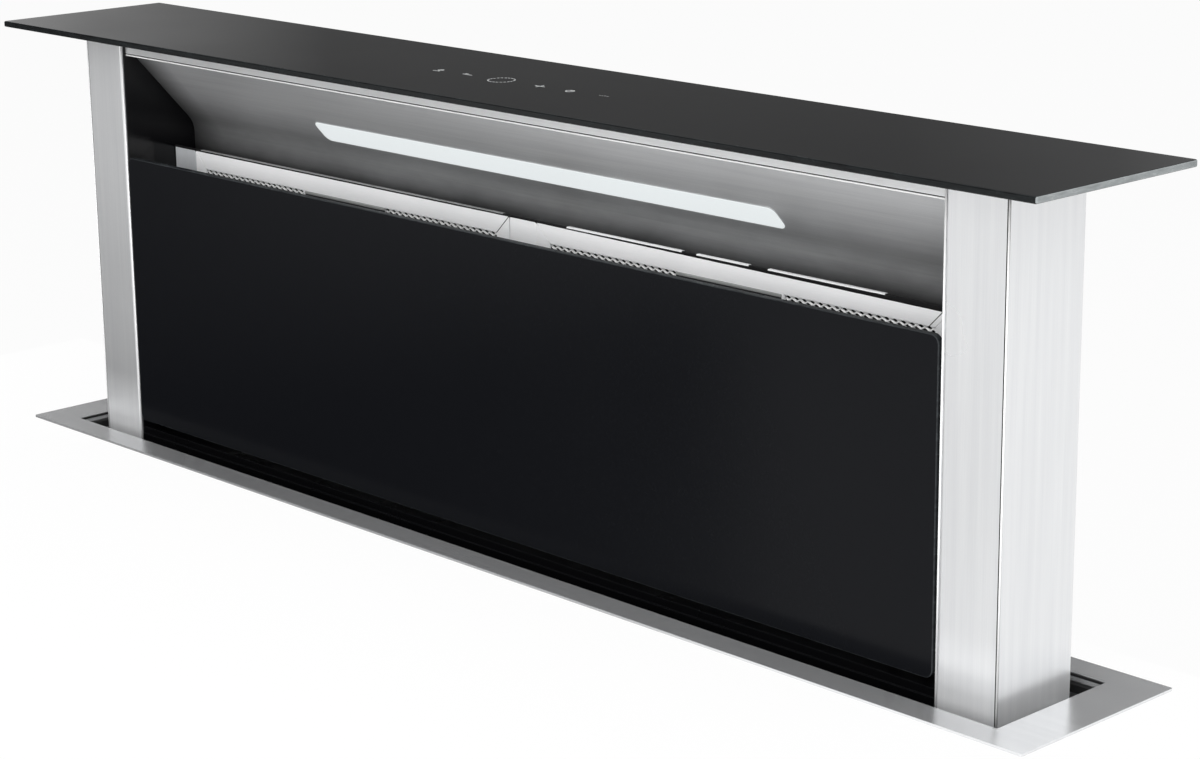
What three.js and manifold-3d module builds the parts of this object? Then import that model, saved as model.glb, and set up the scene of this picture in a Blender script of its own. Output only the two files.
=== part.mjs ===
// Pop-up downdraft vent for a worktop: a glass-topped tower rises from a slot beside the hob, draws the
// fumes in under its lid through two grease filters and sinks back into a casing below the worktop.
// Millimetres. +X to the right, +Y to the back, +Z up. The origin is on the worktop, at the slot's middle.
// The tower is drawn raised. The front is the glass side, where the cook stands.
import * as THREE from 'three';
import { mergeVertices } from 'three/addons/utils/BufferGeometryUtils.js';
import Module from 'manifold-3d';

const wasm = await Module();
wasm.setup();

// ---- driving dimensions ----
const seatGap = 0.3; // between a piece and its seat

const lidEndReach = 2; // glass lid, past the trim's ends
const lidDepthReach = 3;
const lidThickness = 4;
const lidForward = 2.2; // its middle is this far in front of the slot's middle
const lidCorner = 1.5;
const glassArris = 0.6;
const carrierSheet = 1.2; // folded tray under the lid
const carrierEndGap = 9; // to the columns
const carrierDepth = 49;
const carrierDrop = 10;
const touchModuleLength = 190;
const touchModuleDepth = 24;
const touchModuleHeight = 9;
const touchModuleShift = 16; // the touch field lies right of the middle

const trimEnd = 30; // flange that lies on the worktop, beside the slot
const trimSide = 18;
const trimSheet = 1.5;
const trimCorner = 1;
const trimRelief = 0.5; // step under the flange, so that only its rim bears on the worktop
const reliefRoom = 1.2; // from the casing to that rim
const slotEnd = 13; // open slot round the tower
const slotSide = 15;
const trimLip = 10; // folded down round the opening
const lipSheet = 1.2;

const travel = 280; // of the tower
const parkedGap = 0.5; // lid over trim when the tower is down
const towerWidth = 810;
const towerDepth = 62;
const towerBackward = 0.8; // its middle is this far behind the slot's middle
const columnFace = 41; // width of a column seen from the front
const columnSheet = 1.2;
const columnTail = 110; // length below the worktop when raised
const coverSheet = 1.2; // plate that closes a column's outer side
const cheekSheet = 1; // black plate on a column's inner side
const cheekSetBack = 1.6;
const cheekTail = 20;
const backSheet = 1.2;
const bendRadius = 1.4; // middle line of an ordinary fold

const headerHeight = 13.2; // bright strip under the lid
const headerSetBack = 3.2;
const headerSheet = 1.2;
const headerFlange = 3.6;
const deflectorSheet = 1; // slanted panel that turns the air down
const deflectorSlope = 42; // degrees from upright
const deflectorHem = 5.1;
const deflectorBack = 4.3; // its upright leg, in front of the tower's back
const deflectorLeg = 38;
const deflectorBend = 18;
const lightLength = 404; // lamp strip in the slanted panel
const lightWidth = 16.5;
const lightDown = 54.7; // along the slope, to its middle
const lightCorner = 5;
const lensThickness = 2.4;
const lightHousingDepth = 7.5;
const lightHousingRim = 1.6;

const glassTop = 196; // front glass, a door that tips forward
const glassBottom = 8.5;
const glassSideGap = 1; // to the cheeks
const glassThickness = 4;
const glassProud = 0.5;
const glassCorner = 5;
const backingSheet = 1; // steel backing of the glass
const backingMargin = 6;
const backingFlange = 5.5;
const backingBottom = 20;
const hingeHeight = 15; // pin of the glass door
const hingeBehindGlass = 4.2;
const hingeInset = 31.7; // from the glass door's ends
const pinRadius = 2;
const barrelRadius = 3.3;
const barrelLength = 20;
const hingeEar = 2.5;
const hingeLeafHeight = 26;
const hingeRim = 0.4; // ear round the pin
const earReach = 9.2; // the ear comes down this far behind the pin, clear of the glass as it tips
const earLeg = 4;

const railTop = 2.8; // black rail under the glass
const railStep = -2;
const railBottom = -14;
const railStepDepth = 1.4;
const railDepth = 24;
const apronSheet = 1.2;
const apronBottom = -80;
const ledgeSheet = 1;
const ledgeLip = 4.3;
const footBeamHeight = 20;
const footBeamDepth = 12;
const footBeamRise = 6; // above the columns' lower ends

const filterTop = 198.3; // grease filters and the posts beside them
const filterSetBack = 39.7; // behind the columns' front
const filterDepth = 8;
const filterMember = 11.5;
const filterSkin = 1.2;
const filterRim = 2.6; // the front skin stands proud of the channel behind it
const filterGroove = 4; // from the skin's edge to the slot that holds the mesh
const mitreSlit = 0.4;
const pullWidth = 84;
const pullHeight = 13;
const postWidth = 24.6;
const postDepth = 12;
const postSheet = 1;
const postNotch = 6; // the flanges end this far under the top

const casingEndRoom = 8; // sheet casing below the worktop, past the slot
const casingSideRoom = 7.3;
const casingHeight = 620;
const casingSheet = 1.2;
const casingReturn = 14;
const casingLedge = 15;
const beadPitch = 140; // pressed beads in the back wall
const beadWidth = 22;
const beadDepth = 3;
const beadCount = 5;

const railFoot = 20; // guide rails inside the casing, above its floor
const guideTop = -26;
const guideDepth = 15.3;
const guideHalf = 13;
const guideSlot = 5.2;
const guideSheet = 1.2;
const glideClearance = 0.6;
const glideLength = 70;
const glideBase = 2;
const glideHalf = 11;

const tubeRadius = 14; // lifting spindle drives, one in each column
const boreRadius = 8.6;
const rodRadius = 8;
const studRadius = 4;
const nutRadius = 7.5;
const nutHeight = 6.5;
const anchorHeight = 90;
const anchorSheet = 6;
const tubeUnderAnchor = 14; // when the tower is down
const rodOverlap = 45;
const driveHeight = 44;
const driveWidth = 40;
const driveDepth = 56;
const motorRadius = 16;
const motorLength = 75;

const clampInset = 96; // brackets that clamp the trim to the worktop, from the casing's ends
const clampWidth = 30;
const clampSheet = 2;
const clampTop = -52;
const clampLeg = 40;
const clampArm = 23.4;
const clampScrewReach = 14.5;
const clampScrewRadius = 3;
const worktopThickness = 38;
const clampPadRadius = 8;
const footLap = 30; // brackets that stand on the cabinet's floor, lapped over the casing's ends
const footBottom = -744;
const footReach = 26;
const footDepth = 60;
const footSheet = 2;
const footSlotWidth = 7;
const footSlotLength = 50;

const blowerX = -60; // fan unit on the front of the casing
const blowerRise = 130; // its axis, above the casing's bottom
const volutePitch = 54; // growth of the scroll's radius over its sweep
const voluteStart = 96;
const voluteSweep = 310; // degrees
const voluteWall = 2;
const voluteDepth = 118.4;
const outletDrop = 150;
const outletWidth = 130;
const inletRadius = 66;
const impellerRadius = 88;
const bladeInner = 69;
const bladeLength = 84;
const bladeSheet = 1.4;
const bladeCount = 36;
const bladeSweep = 11; // degrees between a blade's ends
const fanSetBack = 20; // from the housing's back plane to the fan's disc
const fanPlate = 2;
const fanCollarWall = 5; // seat of the disc on the rotor
const fanCollarLength = 9;
const rotorRadius = 45;
const rotorLength = 58;
const shaftRadius = 6;
const motorFlangeRadius = 60;
const motorFlangeSheet = 2.2;

const spigotRadius = 75; // outlet for a 150 mm duct
const spigotWall = 2;
const spigotLength = 42;
const transitionLength = 58;
const collarFlange = 12;
const collarSheet = 2;
const flapDown = 14; // flap axis below the spigot's top
const flapSheet = 1.4;
const flapBarrel = 3.6;
const flapPin = 2;
const flapClearance = 1.2;
const flapSlot = 4.6; // half the gap between the two flaps

const controlInset = 196; // electrics on the front of the casing, from its right end
const controlZ = -280;
const controlWidth = 200;
const controlHeight = 100;
const controlDepth = 50;
const controlWall = 2;
const glandRadius = 11;
const glandShift = 70;
const glandLength = 20;

const arcSteps = 5; // segments in a bend or a quarter of a small round
const roundSteps = 26; // segments in a full circle

// ---- levels and planes that follow from them ----
const openingWidth = towerWidth + 2 * slotEnd;
const openingDepth = towerDepth + 2 * slotSide;
const trimWidth = openingWidth + 2 * trimEnd;
const trimDepth = openingDepth + 2 * trimSide;
const lidWidth = trimWidth + 2 * lidEndReach;
const lidDepth = trimDepth + lidDepthReach;
const casingWidth = openingWidth + 2 * casingEndRoom;
const casingDepth = openingDepth + 2 * casingSideRoom;
const trimTop = trimSheet;
const lidUnderside = trimTop + parkedGap + travel;
const towerTop = lidUnderside - seatGap;
const towerFront = towerBackward - towerDepth / 2;
const towerBack = towerBackward + towerDepth / 2;
const columnOuter = towerWidth / 2;
const columnInner = columnOuter - columnFace;
const cheekInner = columnInner - seatGap - cheekSheet;
const bayHalf = cheekInner - seatGap; // what fits between the cheeks
const carrierLength = 2 * (columnInner - carrierEndGap);
const glassHalfWidth = cheekInner - glassSideGap;
const hingeSpread = glassHalfWidth - hingeInset;
const headerFront = towerFront + headerSetBack;
const headerBottom = towerTop - headerHeight;
const deflectorTop = headerBottom - seatGap - deflectorSheet / 2;
const filterFront = towerFront + filterSetBack;
const ledgeTop = railTop + seatGap + ledgeSheet;
const filterBottom = ledgeTop + seatGap;
const glassFront = towerFront - glassProud;
const glassBack = glassFront + glassThickness;
const casingFront = -casingDepth / 2;
const casingBack = casingDepth / 2;
const casingBottom = -casingHeight;
const casingOuter = casingWidth / 2;
const clampSpread = casingOuter - clampInset;
const blowerZ = casingBottom + blowerRise;
const controlX = casingOuter - controlInset;
const guideBottom = casingBottom + railFoot;
const footTop = casingBottom + footLap;
const degrees = Math.PI / 180;

// ---- helpers ----
const axisX = new THREE.Vector3(1, 0, 0);
const axisY = new THREE.Vector3(0, 1, 0);
const axisZ = new THREE.Vector3(0, 0, 1);

function outline(points) {
  return new THREE.Shape(points.map(([u, v]) => new THREE.Vector2(u, v)));
}

function roundedRectangle(u0, u1, v0, v1, radius) {
  const shape = new THREE.Shape();
  shape.absarc(u1 - radius, v1 - radius, radius, 0, Math.PI / 2);
  shape.absarc(u0 + radius, v1 - radius, radius, Math.PI / 2, Math.PI);
  shape.absarc(u0 + radius, v0 + radius, radius, Math.PI, 1.5 * Math.PI);
  shape.absarc(u1 - radius, v0 + radius, radius, 1.5 * Math.PI, 2 * Math.PI);
  return shape;
}

function withHole(shape, hole) {
  shape.holes.push(hole);
  return shape;
}

// Outline of a folded sheet whose middle line runs through the points. A point may give its bend radius.
function foldedSheet(points, thickness, radius = bendRadius, steps = arcSteps) {
  const at = (i) => new THREE.Vector2(points[i][0], points[i][1]);
  const line = [];
  points.forEach((point, i) => {
    const here = at(i);
    const before = i > 0 ? here.clone().sub(at(i - 1)).normalize() : null;
    const after = i < points.length - 1 ? at(i + 1).sub(here).normalize() : null;
    const along = before || after;
    const normal = new THREE.Vector2(-along.y, along.x);
    if (!before || !after) {
      line.push([here, normal]);
      return;
    }
    const bend = point[2] || radius;
    const turn = Math.atan2(before.cross(after), before.dot(after));
    const side = Math.sign(turn);
    const start = here.clone().addScaledVector(before, -bend * Math.tan(Math.abs(turn) / 2));
    const centre = start.addScaledVector(normal, side * bend);
    for (let k = 0; k <= steps; k++) {
      const across = normal.clone().rotateAround(new THREE.Vector2(), (turn * k) / steps);
      line.push([centre.clone().addScaledVector(across, -side * bend), across]);
    }
  });
  const offset = (by) => line.map(([p, n]) => p.clone().addScaledVector(n, by));
  return new THREE.Shape([...offset(thickness / 2), ...offset(-thickness / 2).reverse()]);
}

function extruded(shape, depth, steps = arcSteps) {
  return new THREE.ExtrudeGeometry(shape, { depth, bevelEnabled: false, curveSegments: steps });
}

// A shape drawn in (x, y), extruded upwards.
function alongZ(shape, z0, z1, steps) {
  return extruded(shape, z1 - z0, steps).translate(0, 0, z0);
}

// A shape drawn in (y, z), extruded to the right.
function alongX(shape, x0, x1, steps) {
  const turned = new THREE.Matrix4().makeBasis(axisY, axisZ, axisX);
  return extruded(shape, x1 - x0, steps).applyMatrix4(turned).translate(x0, 0, 0);
}

// A shape drawn in (x, z), extruded from the back plane y1 to the front plane y0.
function alongY(shape, y0, y1, steps) {
  const turned = new THREE.Matrix4().makeBasis(axisX, axisZ, axisY.clone().negate());
  return extruded(shape, y1 - y0, steps).applyMatrix4(turned).translate(0, y1, 0);
}

function block(x0, x1, y0, y1, z0, z1) {
  const box = new THREE.BoxGeometry(Math.abs(x1 - x0), Math.abs(y1 - y0), Math.abs(z1 - z0));
  return box.translate((x0 + x1) / 2, (y0 + y1) / 2, (z0 + z1) / 2);
}

// A cylinder between two points on a line parallel to an axis.
function rod(from, to, radius, steps = roundSteps) {
  const a = new THREE.Vector3(...from);
  const b = new THREE.Vector3(...to);
  const along = b.clone().sub(a);
  const cylinder = new THREE.CylinderGeometry(radius, radius, along.length(), steps);
  const turn = new THREE.Quaternion().setFromUnitVectors(axisY, along.normalize());
  return cylinder.applyQuaternion(turn).translate(...a.add(b).multiplyScalar(0.5).toArray());
}

// A turned piece: [radius, height] points that start and end on the axis, or close on themselves.
function turnedOnZ(points, steps = roundSteps) {
  const profile = points.map(([r, z]) => new THREE.Vector2(r, z));
  return new THREE.LatheGeometry(profile, steps).rotateX(Math.PI / 2);
}

function toSolid(geometry) {
  const bare = geometry.clone();
  bare.deleteAttribute('normal');
  bare.deleteAttribute('uv');
  const merged = mergeVertices(bare, 1e-4);
  return new wasm.Manifold(new wasm.Mesh({
    numProp: 3,
    vertProperties: merged.attributes.position.array,
    triVerts: new Uint32Array(merged.index.array),
  }));
}

function toGeometry(solid) {
  const mesh = solid.getMesh();
  const geometry = new THREE.BufferGeometry();
  geometry.setAttribute('position', new THREE.BufferAttribute(mesh.vertProperties, 3));
  geometry.setIndex(new THREE.BufferAttribute(mesh.triVerts, 1));
  geometry.computeVertexNormals();
  return geometry;
}

function joined(...geometries) {
  return toGeometry(geometries.map(toSolid).reduce((sum, piece) => sum.add(piece)));
}

function cut(body, ...tools) {
  return toGeometry(tools.map(toSolid).reduce((rest, tool) => rest.subtract(tool), toSolid(body)));
}

function finish(color, roughness, metalness) {
  return new THREE.MeshStandardMaterial({ color, roughness, metalness });
}

const brushedSteel = finish(0xb9bbbd, 0.35, 1);
const brightSteel = finish(0xdcdee0, 0.3, 1);
const galvanised = finish(0x9aa0a3, 0.5, 0.9);
const blackGlass = finish(0x17181b, 0.08, 0.1);
const blackPaint = finish(0x0e0f10, 0.35, 0.2);
const blackPlastic = finish(0x1b1c1e, 0.55, 0);
const greyPlastic = finish(0x6d7174, 0.6, 0);
const aluminium = finish(0xc6c9cb, 0.42, 0.9);
const lampWhite = finish(0xe8eced, 0.6, 0);
const motorGrey = finish(0x4c5053, 0.5, 0.7);

function place(group, name, geometry, material) {
  const mesh = new THREE.Mesh(geometry, material);
  mesh.name = name;
  group.add(mesh);
}

const sides = [['left', -1], ['right', 1]];

// ---- worktop trim and its clamps ----
function worktopTrim() {
  const halfX = openingWidth / 2;
  const halfY = openingDepth / 2;
  const hole = () => roundedRectangle(-halfX, halfX, -halfY, halfY, trimCorner);
  const edgeX = trimWidth / 2;
  const edgeY = trimDepth / 2;
  const flange = () => roundedRectangle(-edgeX, edgeX, -edgeY, edgeY, trimCorner);
  const outX = halfX + lipSheet;
  const outY = halfY + lipSheet;
  const lip = roundedRectangle(-outX, outX, -outY, outY, trimCorner + lipSheet);
  const rimX = casingOuter + reliefRoom;
  const rimY = casingBack + reliefRoom;
  const rim = roundedRectangle(-rimX, rimX, -rimY, rimY, trimCorner);
  return joined(
    alongZ(withHole(flange(), rim), 0, trimSheet, 3),
    alongZ(withHole(flange(), hole()), trimRelief, trimSheet, 3),
    alongZ(withHole(lip, hole()), -trimLip, trimSheet - trimRelief / 2, 3),
  );
}

function worktopClamp(x, facing) {
  const wall = facing * (casingBack + seatGap + clampSheet / 2);
  const bracket = foldedSheet(
    [[wall, clampTop - clampLeg], [wall, clampTop], [wall + facing * clampArm, clampTop]],
    clampSheet, 2 * clampSheet,
  );
  const screwY = wall + facing * clampScrewReach;
  const screw = (z0, z1, radius) => rod([x, screwY, z0], [x, screwY, z1], radius, 12);
  const padTop = -worktopThickness - seatGap;
  return joined(
    alongX(bracket, x - clampWidth / 2, x + clampWidth / 2),
    screw(clampTop - 12, padTop - 1, clampScrewRadius),
    screw(padTop - 3, padTop, clampPadRadius),
    rod([x, screwY, clampTop - 16], [x, screwY, clampTop - 10], 1.8 * clampScrewRadius, 6),
  );
}

// ---- casing below the worktop ----
function casingSide(side) {
  const wall = side * (casingOuter - casingSheet / 2);
  const back = casingBack - casingSheet - seatGap - casingSheet / 2;
  const profile = foldedSheet(
    [[wall - side * casingReturn, -back], [wall, -back], [wall, back], [wall - side * casingReturn, back]],
    casingSheet,
  );
  const ledgeZ = -trimLip - seatGap - casingSheet;
  const ledge = block(
    wall, wall - side * casingLedge, -back, back, ledgeZ, ledgeZ + casingSheet,
  );
  return joined(alongZ(profile, casingBottom, -seatGap), ledge);
}

function casingFrontPanel() {
  const x = casingOuter;
  const panel = outline([[-x, casingBottom], [x, casingBottom], [x, -seatGap], [-x, -seatGap]]);
  const inlet = new THREE.Path();
  inlet.absarc(blowerX, blowerZ, inletRadius + 4, 0, 2 * Math.PI);
  return alongY(withHole(panel, inlet), casingFront, casingFront + casingSheet, roundSteps);
}

function casingBackPanel() {
  const y = casingBack - casingSheet / 2;
  const points = [[-casingOuter, y]];
  for (let i = 0; i < beadCount; i++) {
    const middle = (i - (beadCount - 1) / 2) * beadPitch;
    const foot = beadWidth / 2;
    const crest = foot - beadDepth;
    points.push([middle - foot, y], [middle - crest, y - beadDepth]);
    points.push([middle + crest, y - beadDepth], [middle + foot, y]);
  }
  points.push([casingOuter, y]);
  return alongZ(foldedSheet(points, casingSheet, bendRadius, 2), casingBottom, -seatGap);
}

function casingFloor() {
  const top = casingBottom - seatGap;
  return block(-casingOuter, casingOuter, casingFront, casingBack, top - casingSheet, top);
}

function guideRail(side) {
  const web = side * (casingOuter - casingSheet - seatGap - guideSheet / 2);
  const lip = web - side * (guideDepth - guideSheet);
  const half = [[web, guideHalf], [lip, guideHalf], [lip, guideSlot]];
  const profile = foldedSheet([...half.map(([x, y]) => [x, -y]).reverse(), ...half], guideSheet, 1);
  return alongZ(profile, guideBottom, guideTop);
}

function floorBracket(side) {
  const wall = side * (casingOuter + seatGap + footSheet / 2);
  const base = footBottom + footSheet / 2;
  const toe = wall + side * footReach;
  const profile = foldedSheet([[wall, footTop], [wall, base], [toe, base]], footSheet, 3);
  const bracket = alongY(profile, -footDepth / 2, footDepth / 2);
  const slotZ = (footTop + footBottom) / 2;
  const slot = roundedRectangle(
    -footSlotWidth / 2, footSlotWidth / 2, slotZ - footSlotLength / 2, slotZ + footSlotLength / 2,
    footSlotWidth / 2 - 0.01,
  );
  return cut(bracket, alongX(slot, wall - 3 * footSheet, wall + 3 * footSheet, 4));
}

// ---- lifting drives ----
const driveX = (columnInner + columnSheet + columnOuter - coverSheet - seatGap) / 2;
const tubeTop = anchorHeight - travel - tubeUnderAnchor;
const rodBottom = tubeTop - rodOverlap;
const boreBottom = rodBottom - travel - 6;
const driveTop = casingBottom + driveHeight;

function driveTube() {
  const bottom = driveTop + seatGap;
  return turnedOnZ([
    [0, bottom], [tubeRadius, bottom], [tubeRadius, tubeTop - 12], [tubeRadius + 2, tubeTop - 11],
    [tubeRadius + 2, tubeTop], [boreRadius, tubeTop], [boreRadius, boreBottom], [0, boreBottom],
  ]);
}

function driveRod() {
  const shoulder = anchorHeight - seatGap;
  const nutBase = anchorHeight + anchorSheet + seatGap;
  const nutTop = nutBase + nutHeight;
  const nut = new THREE.CylinderGeometry(nutRadius, nutRadius, nutHeight, 6).rotateX(Math.PI / 2);
  return joined(
    turnedOnZ([[0, rodBottom], [rodRadius, rodBottom], [rodRadius, shoulder], [0, shoulder]]),
    rod([0, 0, shoulder - 1], [0, 0, nutTop + 2], studRadius, 16),
    nut.translate(0, 0, (nutBase + nutTop) / 2),
  );
}

function driveGear(side) {
  const gearbox = roundedRectangle(-driveWidth / 2, driveWidth / 2, -driveDepth / 2, driveDepth / 2, 5);
  const motorZ = casingBottom + driveHeight / 2;
  const inward = -side * (driveWidth / 2 - 2);
  return joined(
    alongZ(gearbox, casingBottom, driveTop, 3),
    rod([inward, 0, motorZ], [inward - side * motorLength, 0, motorZ], motorRadius, 20),
  );
}

// ---- tower ----
function column(side) {
  const flangeEnd = side * (columnOuter - coverSheet - seatGap);
  const web = side * (columnInner + columnSheet / 2);
  const front = towerFront + columnSheet / 2;
  const back = towerBack - columnSheet / 2;
  const channel = foldedSheet(
    [[flangeEnd, front], [web, front], [web, back], [flangeEnd, back]], columnSheet,
  );
  const anchor = block(
    web, flangeEnd, front, back, anchorHeight, anchorHeight + anchorSheet,
  );
  const hole = rod(
    [side * driveX, towerBackward, anchorHeight - 1],
    [side * driveX, towerBackward, anchorHeight + anchorSheet + 1],
    studRadius + seatGap, 16,
  );
  return cut(joined(alongZ(channel, -columnTail, towerTop), anchor), hole);
}

function columnCover(side) {
  const plate = roundedRectangle(-coverSheet / 2, coverSheet / 2, towerFront, towerBack, coverSheet / 3);
  return alongZ(plate, -columnTail, towerTop, 2).translate(side * (columnOuter - coverSheet / 2), 0, 0);
}

function innerCheek(side) {
  const x = side * cheekInner;
  const back = towerBack - backSheet - seatGap;
  return block(x, x + side * cheekSheet, towerFront + cheekSetBack, back, -cheekTail, towerTop);
}

function lidGlass() {
  const y = -lidForward;
  const shape = roundedRectangle(
    -lidWidth / 2, lidWidth / 2, y - lidDepth / 2, y + lidDepth / 2, lidCorner,
  );
  return bevelled(shape, lidThickness).translate(0, 0, lidUnderside);
}

// A plate of ground glass: its edges have a small flat arris.
function bevelled(shape, thickness) {
  return new THREE.ExtrudeGeometry(shape, {
    depth: thickness - 2 * glassArris, curveSegments: 4,
    bevelEnabled: true, bevelThickness: glassArris, bevelSize: glassArris, bevelOffset: -glassArris,
    bevelSegments: 1,
  }).translate(0, 0, glassArris);
}

function lidCarrier() {
  const top = towerTop - carrierSheet / 2;
  const front = headerFront + headerFlange + 1.5;
  const back = front + carrierDepth;
  const tray = foldedSheet(
    [[front, top - carrierDrop], [front, top], [back, top], [back, top - carrierDrop]], carrierSheet,
  );
  return alongX(tray, -carrierLength / 2, carrierLength / 2);
}

function touchModule() {
  const top = towerTop - carrierSheet - seatGap;
  const front = headerFront + headerFlange + 4;
  const shape = roundedRectangle(
    touchModuleShift - touchModuleLength / 2, touchModuleShift + touchModuleLength / 2,
    front, front + touchModuleDepth, 3,
  );
  return alongZ(shape, top - touchModuleHeight, top, 3);
}

function headerRail() {
  const face = headerFront + headerSheet / 2;
  const top = towerTop - headerSheet / 2;
  const bottom = headerBottom + headerSheet / 2;
  const back = face + headerFlange;
  const profile = foldedSheet([[back, top], [face, top], [face, bottom], [back, bottom]], headerSheet, 0.9);
  return alongX(profile, -bayHalf, bayHalf);
}

const slopeStartY = headerFront + 0.4 + deflectorHem;
const slopeAngle = deflectorSlope * degrees;
const legY = towerBack - backSheet - deflectorBack + deflectorSheet;

// A point on the middle plane of the slanted panel, so far down the slope and so far out in front of it.
function onSlope(down, out = 0) {
  return [
    slopeStartY + down * Math.sin(slopeAngle) - out * Math.cos(slopeAngle),
    deflectorTop - down * Math.cos(slopeAngle) - out * Math.sin(slopeAngle),
  ];
}

// A shape drawn in the slanted panel's plane, u to the right and v up the slope, extruded out of its face.
function onSlopePlane(shape, out0, out1) {
  const upSlope = new THREE.Vector3(0, -Math.sin(slopeAngle), Math.cos(slopeAngle));
  const outward = new THREE.Vector3(0, -Math.cos(slopeAngle), -Math.sin(slopeAngle));
  const turned = new THREE.Matrix4().makeBasis(axisX, upSlope, outward);
  const [y, z] = onSlope(lightDown, out0);
  return extruded(shape, out1 - out0, arcSteps).applyMatrix4(turned).translate(0, y, z);
}

function lightOutline(grow) {
  const halfU = lightLength / 2 + grow;
  const halfV = lightWidth / 2 + grow;
  return roundedRectangle(-halfU, halfU, -halfV, halfV, lightCorner + grow);
}

function deflectorPanel() {
  const legTop = deflectorTop - (legY - slopeStartY) / Math.tan(slopeAngle);
  const profile = foldedSheet([
    [headerFront + 0.4, deflectorTop], [slopeStartY, deflectorTop],
    [legY, legTop, deflectorBend], [legY, legTop - deflectorLeg],
  ], deflectorSheet, 1);
  const window = onSlopePlane(lightOutline(seatGap), -4, 4);
  return cut(alongX(profile, -bayHalf, bayHalf), window);
}

function lightLens() {
  return onSlopePlane(lightOutline(0), deflectorSheet / 2 - lensThickness, deflectorSheet / 2);
}

function lightHousing() {
  const front = deflectorSheet / 2 - lensThickness - seatGap;
  return onSlopePlane(lightOutline(lightHousingRim), front - lightHousingDepth, front);
}

function backPanel() {
  const half = columnInner - seatGap;
  return block(-half, half, towerBack - backSheet, towerBack, -columnTail, towerTop);
}

// ---- front glass, a door hinged at its foot ----
const hingeY = glassBack + hingeBehindGlass;

function frontGlass() {
  const r = glassCorner;
  const w = glassHalfWidth;
  const shape = new THREE.Shape();
  shape.moveTo(-w, glassBottom);
  shape.lineTo(w, glassBottom);
  shape.absarc(w - r, glassTop - r, r, 0, Math.PI / 2);
  shape.absarc(-w + r, glassTop - r, r, Math.PI / 2, Math.PI);
  const turned = new THREE.Matrix4().makeBasis(axisX, axisZ, axisY.clone().negate());
  return bevelled(shape, glassThickness).applyMatrix4(turned).translate(0, glassBack, 0);
}

function glassBacking() {
  const half = glassHalfWidth - backingMargin;
  const y = glassBack + seatGap + backingSheet / 2;
  const top = glassTop - backingMargin;
  const tray = alongX(
    foldedSheet([[y + backingFlange, top], [y, top], [y, backingBottom]], backingSheet), -half, half,
  );
  const leaves = sides.map(([, side]) => {
    const x0 = side * hingeSpread - barrelLength / 2;
    const x1 = x0 + barrelLength;
    const leafY = y + backingSheet / 2;
    return joined(
      block(x0, x1, leafY - 0.2, leafY + 1, hingeHeight, hingeHeight + hingeLeafHeight),
      block(x0, x1, leafY, hingeY, hingeHeight, hingeHeight + barrelRadius * 0.9),
      rod([x0, hingeY, hingeHeight], [x1, hingeY, hingeHeight], barrelRadius, 16),
    );
  });
  const bores = sides.map(([, side]) => rod(
    [side * hingeSpread - barrelLength, hingeY, hingeHeight],
    [side * hingeSpread + barrelLength, hingeY, hingeHeight], pinRadius + seatGap, 16,
  ));
  return cut(joined(tray, ...leaves), ...bores);
}

function lowerRail() {
  const front = towerFront + 0.6;
  const back = front + railDepth;
  const nose = front + railStepDepth;
  const apron = front + apronSheet;
  const profile = outline([
    [back, railTop], [nose, railTop], [nose, railStep], [front, railStep],
    [front, apronBottom], [apron, apronBottom], [apron, railStep - apronSheet],
    [nose + apronSheet, railStep - apronSheet], [nose + apronSheet, railTop - apronSheet],
    [back - apronSheet, railTop - apronSheet], [back - apronSheet, railBottom], [back, railBottom],
  ]);
  const rim = pinRadius + hingeRim;
  const legFront = hingeY + earReach;
  const legBack = legFront + earLeg;
  const earSide = outline([
    [hingeY - rim, hingeHeight - rim], [legFront, hingeHeight - rim], [legFront, railTop - 1],
    [legBack, railTop - 1], [legBack, hingeHeight + rim], [hingeY - rim, hingeHeight + rim],
  ]);
  const ear = (x) => alongX(earSide, x, x + hingeEar);
  const hinges = sides.map(([, side]) => {
    const inner = side * hingeSpread - barrelLength / 2 - seatGap;
    const outer = inner + barrelLength + 2 * seatGap;
    const pin = (x) => [x, hingeY, hingeHeight];
    return joined(
      ear(inner - hingeEar), ear(outer),
      rod(pin(inner - hingeEar / 2), pin(outer + hingeEar / 2), pinRadius, 12),
    );
  });
  return joined(alongX(profile, -bayHalf, bayHalf), ...hinges);
}

// ---- filters, their posts and the ledge they stand on ----
function filterLedge() {
  const front = towerFront + 0.6 + railDepth - 3;
  const lipBack = filterFront - 0.8;
  const back = filterFront + filterDepth + 1;
  const base = ledgeTop - ledgeSheet;
  const lipFront = lipBack - ledgeSheet;
  const lipTop = ledgeTop + ledgeLip;
  const profile = outline([
    [front, base], [back, base], [back, ledgeTop], [lipBack, ledgeTop], [lipBack, lipTop],
    [lipFront, lipTop], [lipFront, ledgeTop], [front, ledgeTop],
  ]);
  return alongX(profile, -bayHalf, bayHalf);
}

function filterPost(x0) {
  const face = filterFront + postSheet / 2;
  const near = x0 + postSheet / 2;
  const far = x0 + postWidth - postSheet / 2;
  const back = filterFront + postDepth;
  const profile = foldedSheet([[near, back], [near, face], [far, face], [far, back]], postSheet, 0.8);
  const notch = block(
    x0 - 1, x0 + postWidth + 1, filterFront + 1.5 * postSheet, back + 1, filterTop - postNotch, filterTop + 1,
  );
  return cut(alongZ(profile, filterBottom, filterTop), notch);
}

const filterInner = postWidth / 2 + seatGap; // nearest and farthest x of a filter
const filterOuter = bayHalf - postWidth - seatGap;

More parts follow.
